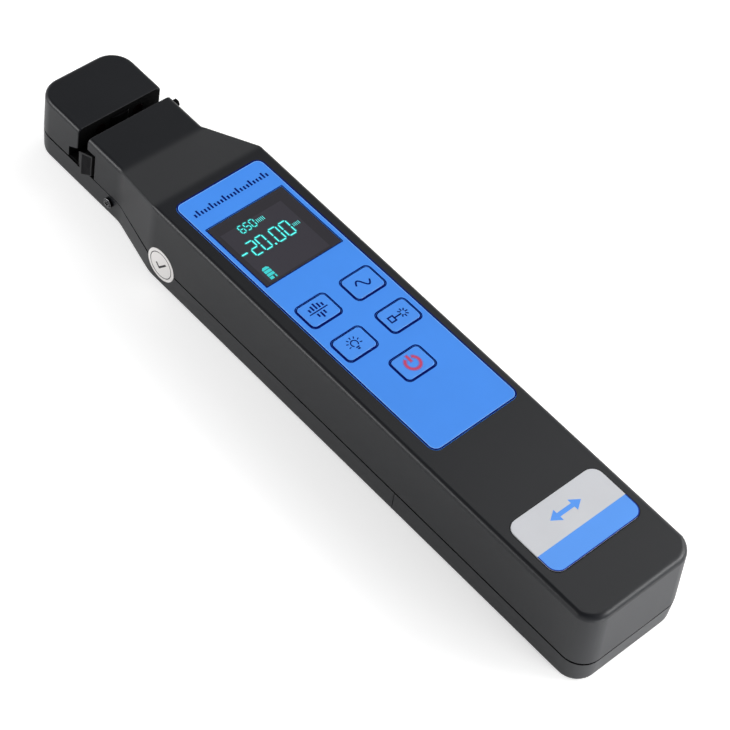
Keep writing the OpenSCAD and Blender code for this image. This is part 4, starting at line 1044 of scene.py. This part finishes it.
# %% Seal
SEAL_X, SEAL_Z, SEAL_Y = -46.0, 8.3, -BODY_Y
SEAL_R, RING_R, RING_POINTS = 4.88, 3.9, 60
seal = turned([(SEAL_Y - 0.08, 4.8), (SEAL_Y - 0.06, 4.86), (SEAL_Y + 0.02, SEAL_R),
               (SEAL_Y + 0.3, SEAL_R)], "y", (SEAL_X, 0, SEAL_Z), 64)
make("seal_disc", seal, "case", "seal_white", "seal", ["seal_sticker"])
tick = stroke([(-1.7, -0.2), (-0.5, -1.3), (1.8, 1.5)], 0.55, 0)
ring_line = stroke([(RING_R * math.cos(math.radians(6 * k)), RING_R * math.sin(math.radians(6 * k)))
                    for k in range(RING_POINTS)], 0.22, 0, True)
to_side = Matrix.Translation((SEAL_X, SEAL_Y - 0.08, SEAL_Z)) \
    @ Matrix.Rotation(math.radians(90), 4, "X")
make("seal_marks", merged([tick, ring_line]), "case", "seal_white", "seal_ink", place=to_side)
print("seal is", 2 * SEAL_R, "mm across")

# %% [markdown]
# The working end. The jaw is one moulding: a block with the soft fibre pad, a lip below the
# slot, and an end tab in the neck's side that shows how far it is closed. The lever below
# pushes it through a pin. Small parts like these are cut from blocks with eased edges.

# %% Jaw
STUB_X, STUB_Z = -80.4, 17.2
jaw = combine(block(-81.2, -74.2, -11.3, 11.3, 8.25, 18.1, 0.25), [
    carried([(-84.4, 8.35), (-84.4, 11.5), (-81.4, 13.3), (-81.4, 8.35)], "y", -13.47, 13.35, 0.12),
    block(-81.5, -80.2, -11.3, 11.3, 8.35, 13.3, 0),
    carried([(-81.5, 8.35), (-81.5, 13.3), (-78.5, 16.2), (-78.5, 9.1)], "y", -13.47, -10.3, 0.1),
    block(-75.2, -66.5, 7, 11.3, 8.25, 11.5, 0.25),
    block(-75.2, -66.5, -11.3, -7, 8.25, 11.5, 0.25),
    block(-75.2, -67.6, 3.2, 5.2, 13.29, 17.49, 0.25),
    block(-75.2, -67.6, -5.2, -3.2, 13.29, 17.49, 0.25)], "UNION")
jaw = combine(jaw, [block(-82.2, -79.4, -8, 8, 14.5, 19.1, 0),
                    turned([(-13.3, 1.025), (13.3, 1.025)], "y", (-69.86, 0, 15.39), 24),
                    turned([(0.5, 0.825), (13, 0.825)], "y", (STUB_X, 0, STUB_Z), 24)])
# The whole jaw moulding is painted shade, in the slot's matt black.
make("jaw_moulding", jaw, "jaw", "jaw_black", "gap", ["jaw_slide"])
TAB = [(-82.9, 6.1), (-83.7, 10.0), (-83.9, 13.8), (-78.8, 16.1), (-78.8, 9.05)]
FIELD = [(-82.6, 6.65), (-82.75, 13.95), (-79.05, 15.6), (-79.05, 9.2)]
tab = carried(TAB, "y", -13.75, -13.45, 0.05)
tab = combine(tab, [carried(FIELD, "y", -14.5, -13.6)])
make("jaw_tab", tab, "jaw", "jaw_black", "jaw")
RIBS = 8
grip = [carried(FIELD, "y", -13.64, -13.5)]
for k in range(RIBS):
    share = (k + 0.5) / RIBS
    low, high = [FIELD[a][1] + (FIELD[b][1] - FIELD[a][1]) * share for a, b in ((0, 3), (1, 2))]
    x = FIELD[0][0] + (FIELD[3][0] - FIELD[0][0]) * share
    grip.append(block(x - 0.13, x + 0.13, -13.72, -13.6, low, high, 0.04))
make("jaw_tab_grip", merged(grip), "jaw", "jaw_black", "grip")
print("the jaw's tab has", RIBS, "ribs")

# %% [markdown]
# The finger lever lies in a well under the neck and turns on the cross-head screw. Its arm
# ends in a fork round the jaw's pin. The peg on its pad holds the spring in place. The peg is
# slim, so that it stays clear of the straight coil when the pad tilts.

# %% Lever
PIVOT = (-71.6, 0, 5.5)
PEG_R = 1.2
lean_arm = Matrix.Translation(PIVOT) @ Matrix.Rotation(math.radians(10), 4, "Y")
arm = block(-2.7, 2.7, -2.8, 2.8, 0, 12.24, 0.4)
fork = block(-1.3, 1.3, -5.6, 5.6, 8.6, 13.5, 0)
for shape in (arm, fork):
    shape.transform(lean_arm)
lever = combine(turned([(-3, 3.0), (-2.8, 3.2), (2.8, 3.2), (3, 3.0)], "y", PIVOT), [
    arm, block(-70.5, -53.5, -6.5, 6.5, 0.45, 2.6, 0.6),
    turned([(1.5, PEG_R), (3.7, PEG_R), (4.0, 0.9)], "z", (SPRING_X, 0, 0), 24),
    carried([(-70.5, 1.5), (-71.6, 5.5), (-70.0, 5.5), (-66.0, 2.6), (-66.0, 1.5)], "y",
            -1.5, 1.5)], "UNION")
lever = combine(lever, [fork, turned([(-6, 1.225), (6, 1.225)], "y", PIVOT, 32)]
                + [block(-55.7 - 2.2 * k, -54.6 - 2.2 * k, -7.5, 7.5, -0.5, 0.95, 0.2)
                   for k in range(5)])
make("lever_moulding", lever, "lever", "jaw_black", "jaw", ["trigger"])
print("lever turns about", PIVOT)

# %% [markdown]
# The pivot screw, the lock stub and the case screws are the fasteners that show. A cross head
# is a low dome with two crossed slots cut in it. The pivot's recess gets a matt black floor of
# painted shade, the sides of the pivot's head are painted shade too, and the stub is painted
# the same matt black shade, because the recess and the stub show black.

# %% Screws and the lock stub
def cross_head(start, radius, tall, way):
    """A domed screw head along Z, from a height outwards, with a cross recess in its face."""
    shape = turned([(start, radius), (start + way * tall * 0.7, radius),
                    (start + way * tall * 0.92, radius * 0.86),
                    (start + way * tall, radius * 0.6)], "z", (0, 0, 0), 32)
    face = start + way * tall
    low, high = sorted((face + way * 0.5, face - way * min(0.6 * tall, 0.9)))
    arms = [block(-0.62 * radius, 0.62 * radius, -0.15 * radius, 0.15 * radius, low, high, 0),
            block(-0.15 * radius, 0.15 * radius, -0.62 * radius, 0.62 * radius, low, high, 0)]
    return combine(shape, arms)


upright = Matrix.Translation((PIVOT[0], 0, PIVOT[2])) @ Matrix.Rotation(math.radians(90), 4, "X") \
    @ Matrix.Rotation(math.radians(20), 4, "Z")
head_part = cross_head(NECK_Y, 1.4, 0.9, 1)
head_part.transform(upright)
recess = block(-0.9, 0.9, -0.9, 0.9, NECK_Y + 0.2, NECK_Y + 0.42, 0)
recess.transform(upright)
# The recess floor is painted shade.
make("pivot_recess", recess, "case", "steel_dark", "gap")
shank = turned([(-NECK_Y - 0.01, 1.2), (NECK_Y - 0.4, 1.2), (NECK_Y - 0.1, 1.0)], "y", PIVOT, 32)
# The head's sides, its cross and its shank are painted shade.
make("pivot_screw", merged([head_part, shank]), "case", "steel_dark", "screw", ["trigger_pin"],
     in_painted_shade=lambda middle, normal: normal.y > -0.6)
HEX_R = 1.2
hexagon = [(HEX_R * math.cos(math.radians(60 * k)), HEX_R * math.sin(math.radians(60 * k)))
           for k in range(6)]
nut = carried([(STUB_X + a, STUB_Z + b) for a, b in hexagon], "y", 13.85, 15.25, 0.15)
stub = turned([(8.1, 0.6), (8.3, 0.8), (14.5, 0.8)], "y", (STUB_X, 0, STUB_Z), 24)
# The stub is painted shade, in matt black.
make("lock_stub", merged([nut, stub]), "jaw", "steel_dark", "gap", ["lock_screw"])
screws = [shifted(cross_head(2.4, 1.9, 1.6, -1), x, y) for x, y in SCREWS]
screws += [turned([(2.0, 1.0), (13.6, 1.0), (14.1, 0.6)], "z", (x, y, 0), 20) for x, y in SCREWS]
make("case_fasteners", merged(screws), "case", "steel_dark", "dark_steel", ["case_screws"])
print(len(SCREWS), "case screws from below")

# %% [markdown]
# The return spring stands between the lever's pad and a seat below the ramp. The solid is
# only a tube, so here it is a real coil with closed ends.

# %% Springs
def coil(x, y, z0, z1, radius, gauge, turns, axis="z"):
    """A coil whose end turns lie closer, from z0 to z1 along the axis. gauge is half the
    thickness of its wire."""
    path = []
    steps = int(turns * 20)
    for k in range(steps + 1):
        t = k / steps
        rise = t * t * (3 - 2 * t) * 0.35 + t * 0.65
        turn = 2 * math.pi * turns * t
        along = z0 + gauge + (z1 - z0 - 2 * gauge) * rise
        a, b = radius * math.cos(turn), radius * math.sin(turn)
        path.append((x + a, y + b, along) if axis == "z" else (along, y + a, x + b))
    return tube(path, gauge)


spring = make("return_spring", coil(SPRING_X, 0, 2.6, SPRING_TOP, 2.08, 0.3, 8.5), "case",
              "steel", "steel", ["trigger_spring"])
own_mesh(spring)
CELL_Y, CELL_Z, CELL_LEN = 5.45, 8.9, 44.5
CELL_STARTS = (51.0, 89.5)
contact = [coil(CELL_Z, CELL_Y, 45.0, CELL_STARTS[0], 2.45, 0.3, 4.5, "x"),
           coil(CELL_Z, -CELL_Y, 95.5, CELL_STARTS[1], 2.45, 0.3, 4.5, "x")]
make("contact_coils", merged(contact), "case", "contact_bright", "bright", ["contact_springs"])
print("one return coil and", len(contact), "contact coils")

# %% [markdown]
# Two AAA cells lie side by side, the second one turned round. Each has a dark sleeve, a
# copper-coloured upper part and a nub. They only show once the door is off.

# %% Cells
wraps, tops = [], []
for y, x0, way in ((CELL_Y, CELL_STARTS[0], 1), (-CELL_Y, CELL_STARTS[1], -1)):
    foot, shoulder, colour_change, rim_start, rim_end, tip_end = [
        x0 + way * d for d in (0, 0.3, CELL_LEN * 0.72, 43.3, 43.7, CELL_LEN)]
    middle = (0, y, CELL_Z)
    wraps.append(turned([(foot, 4.6), (shoulder, 5.2), (colour_change, 5.25)], "x", middle, 48))
    tops.append(turned([(colour_change, 5.25), (rim_start, 5.2), (rim_end, 4.8)], "x", middle, 48))
    tops.append(turned([(rim_end, 1.9), (tip_end - way * 0.15, 1.9), (tip_end, 1.7)], "x",
                       middle, 32))
make("cell_wraps", merged(wraps), "case", "cell_wrap", "wrap_dark", ["battery_cells"])
make("cell_tops", merged(tops), "case", "cell_wrap", "wrap")
print("cells are", CELL_LEN, "mm long over the nub")

# %% [markdown]
# In the middle of the slot stands the anvil, over which the jaw bends the fibre so that a
# little light leaks out. In the head's front sits a turned sleeve for a 2.5 mm ferrule.

# %% Anvil and laser port
rise = [(-85.0 + 0.6 * math.cos(math.radians(a)) ** 0.5 if abs(a) < 90 else -85.0, 3 * a / 90)
        for a in range(-90, 91, 10)]
anvil = carried([(-87.0, -3.0)] + rise + [(-87.0, 3.0)], "z", 15.0, 18.5, 0.0)
make("slot_anvil", anvil, "case", "steel", "shaded_steel", ["bend_anvil"])
sleeve = turned([(-102.8, 1.25), (-102.8, 2.35), (-102.55, 2.6), (-95.0, 2.6), (-95.0, 0.8),
                 (-95.8, 0.8), (-95.8, 1.25)], "x", (0, 0, 13.4), 40, hollow=True)
make("port_sleeve", sleeve, "case", "sleeve_bright", "sleeve", ["laser_port"])
print("anvil drawn through", len(rise), "points")

# %% [markdown]
# The parts inside keep their solid shapes, which are right as they are. They only get a
# finish each, by putting it in the material slots of the solid's own object.

# %% Finishes for the solids that stay
KEPT = {
    "fibre_pad": "pad", "drive_pin": "steel", "jaw_guide": "steel", "detector_lenses": "lens",
    "light_detectors": "gold", "detector_board": "board", "head_flex": "flex",
    "laser_diode": "gold",
    "main_board": "board", "board_chips": "chip", "key_switches": "chip", "beeper": "chip",
    "display_glass": "cell_glass", "display_frame": "frame", "battery_tray": "tray",
    "contact_plates": "bright", "battery_leads": "lead", "inner_screws": "steel",
}
for node, look in KEPT.items():
    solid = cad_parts[node]
    for held in solid.material_slots:
        held.material = LOOKS[look]
    if not solid.material_slots:
        solid.data.materials.append(LOOKS[look])
print(len(KEPT), "solids keep their shape")

# %% [markdown]
# The object lies on a white floor. Most of its white comes from the lamps, so it takes a
# soft shadow, and the near side, which mirrors the floor in that shadow, comes out dark as in
# the photo. A weak glow lifts the floor for the camera. Far from the object the glow grows,
# so that low views have no grey band at the horizon.

# %% Floor
FLOOR_WHITE, FLOOR_GLOW, MIRRORED_SHARE = 0.92, 0.4, 0.15
FAR_START, FAR_END, FAR_GLOW = 0.3, 1.6, 0.4


def background_share(tree, mirrored):
    """1 for camera and transmission rays, less for glossy rays, 0 for rays that light things."""
    rays = tree.nodes.new("ShaderNodeLightPath")
    glossy = maths(tree, "MULTIPLY", rays.outputs["Is Glossy Ray"], mirrored)
    first = maths(tree, "MAXIMUM", rays.outputs["Is Camera Ray"],
                  rays.outputs["Is Transmission Ray"])
    return maths(tree, "MAXIMUM", first, glossy)


floor_look = bpy.data.materials.new("white_sweep")
floor_look.use_nodes = True
tree = floor_look.node_tree
tree.nodes.remove(tree.nodes["Principled BSDF"])
matte = tree.nodes.new("ShaderNodeBsdfDiffuse")
matte.inputs["Color"].default_value = (*[FLOOR_WHITE] * 3, 1)
light = tree.nodes.new("ShaderNodeEmission")
spread_out = tree.nodes.new("ShaderNodeTexCoord")
reach = tree.nodes.new("ShaderNodeVectorMath")
reach.operation = "LENGTH"
wire(tree, spread_out.outputs["Object"], reach.inputs[0])
far_floor = tree.nodes.new("ShaderNodeMapRange")
far_floor.inputs["From Min"].default_value = FAR_START
far_floor.inputs["From Max"].default_value = FAR_END
far_floor.inputs["To Max"].default_value = FAR_GLOW
wire(tree, reach.outputs["Value"], far_floor.inputs["Value"])
eye = tree.nodes.new("ShaderNodeLightPath")
beyond = maths(tree, "MULTIPLY", eye.outputs["Is Camera Ray"], far_floor.outputs["Result"])
near_glow = maths(tree, "MULTIPLY", background_share(tree, MIRRORED_SHARE), FLOOR_GLOW)
wire(tree, maths(tree, "ADD", near_glow, beyond), light.inputs["Strength"])
both = tree.nodes.new("ShaderNodeAddShader")
wire(tree, matte.outputs[0], both.inputs[0])
wire(tree, light.outputs[0], both.inputs[1])
wire(tree, both.outputs[0], tree.nodes["Material Output"].inputs["Surface"])
ground = bmesh.new()
bmesh.ops.create_grid(ground, x_segments=2, y_segments=2, size=6)
floor_mesh = bpy.data.meshes.new("floor")
ground.to_mesh(floor_mesh)
ground.free()
floor_mesh.materials.append(floor_look)
floor = bpy.data.objects.new("floor", floor_mesh)
floor.location.z = -0.0001
bpy.context.scene.collection.objects.link(floor)
floor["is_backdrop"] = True
print("floor glows by", FLOOR_GLOW, "for the camera, and by up to", FAR_GLOW, "more far away")

# %% [markdown]
# The world gives an even, weak light, and the camera sees it white. Mirrored rays see it
# white at the horizon and darker overhead, as in a studio with white walls and a dark
# ceiling, which keeps the black tops black.

# %% World
EVEN, DIM_OVERHEAD, LEAST = 0.31, 1.2, 0.1
world = bpy.data.worlds.new("even_fill")
bpy.context.scene.world = world
world.use_nodes = True
tree = world.node_tree
fill = tree.nodes["Background"]
fill.inputs["Color"].default_value = (1, 1, 1, 1)
rays = tree.nodes.new("ShaderNodeLightPath")
mirrored = maths(tree, "MAXIMUM", rays.outputs["Is Glossy Ray"],
                 rays.outputs["Is Transmission Ray"])
aim = tree.nodes.new("ShaderNodeTexCoord")
split = tree.nodes.new("ShaderNodeSeparateXYZ")
wire(tree, aim.outputs["Generated"], split.inputs[0])
above = maths(tree, "MULTIPLY", maths(tree, "MAXIMUM", split.outputs["Z"], 0), DIM_OVERHEAD)
overhead = maths(tree, "MAXIMUM", maths(tree, "SUBTRACT", 1, above), LEAST)
reflected = maths(tree, "MULTIPLY", mirrored, maths(tree, "SUBTRACT", overhead, EVEN))
seen = maths(tree, "MULTIPLY", rays.outputs["Is Camera Ray"], 1 - EVEN)
wire(tree, maths(tree, "ADD", maths(tree, "ADD", reflected, seen), EVEN), fill.inputs["Strength"])
print("world fills with", EVEN)

# %% [markdown]
# Four soft lamps light the object: the main one from behind, one from beyond the tail, one
# from high up, and one from the near side of the head. With the main one behind, the floor
# on the near side lies in shadow. A fifth, small and low, lights the floor that the tail end
# mirrors. It is hidden from the camera and from reflections, or it would show as a glint.

# %% Lamps
def lamp(name, place, size, power, aim=(0, 0, 0.01)):
    """A soft lamp of size (length, height) at a place in metres, turned to a point."""
    data = bpy.data.lights.new(name, "AREA")
    data.shape = "RECTANGLE"
    data.size, data.size_y, data.energy = *size, power
    thing = bpy.data.objects.new(name, data)
    thing.location = place
    thing.rotation_mode = "QUATERNION"
    thing.rotation_quaternion = (Vector(place) - Vector(aim)).to_track_quat("Z", "Y")
    bpy.context.scene.collection.objects.link(thing)
    return thing


lamp("back_soft", (0.3, 0.72, 0.5), (0.9, 0.5), 4.5)
lamp("tail_soft", (0.5, 0.42, 0.35), (0.4, 0.3), 2.2, (0.1, 0, 0.02))
lamp("high_soft", (-0.12, 0.58, 0.92), (0.5, 0.5), 1.15, (0.1, 0, 0.02))
lamp("front_soft", (-0.26, -0.30, 0.2), (0.4, 0.15), 1.15, (-0.05, 0, 0.01))
low_lamp = lamp("tail_low", (0.21, 0.005, 0.018), (0.06, 0.012), 0.17, (0.12, -0.008, 0))
low_lamp.visible_camera = False
low_lamp.visible_glossy = False

# %% [markdown]
# The camera was worked out from the photo: straight edges and corners of the case, the slot,
# the face, the window and the badge were matched by their places in the picture. It looks
# down at 51 degrees from the near side, a little from the tail, and is rolled by 11 degrees.

# %% Camera
AZIMUTH, ELEVATION, ROLL = math.radians(38.97), math.radians(50.99), math.radians(11.38)
back = Vector((math.sin(AZIMUTH) * math.cos(ELEVATION), -math.cos(AZIMUTH) * math.cos(ELEVATION),
               math.sin(ELEVATION)))
right = Vector((math.cos(AZIMUTH), math.sin(AZIMUTH), 0))
up = back.cross(right)
LENS, DISTANCE, AIM = 127.52, 0.60659, (16.75, -8.62, 25.66)
right_rolled = right * math.cos(ROLL) + up * math.sin(ROLL)
up_rolled = up * math.cos(ROLL) - right * math.sin(ROLL)
camera_data = bpy.data.cameras.new("camera")
camera_data.sensor_width = 36
camera_data.lens = LENS
camera_data.clip_start, camera_data.clip_end = 0.01, 20
camera = bpy.data.objects.new("camera", camera_data)
bpy.context.scene.collection.objects.link(camera)
place = Matrix((right_rolled, up_rolled, back)).transposed().to_4x4()
place.translation = Vector(AIM) * MM + back * DISTANCE
camera.matrix_world = place
bpy.context.scene.camera = camera
bpy.context.scene.view_settings.view_transform = "Standard"
print("camera is", round(DISTANCE / MM), "mm from what it looks at")

# %% [markdown]
# Last, the box round everything that renders is measured and printed. It should agree with
# the solids' box, because the looks have to stay inside the real size.

# %% Sizes, and the end
bpy.context.view_layer.update()
low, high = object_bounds()
print("dressed part spans", [round(v / MM, 2) for v in high - low], "mm")
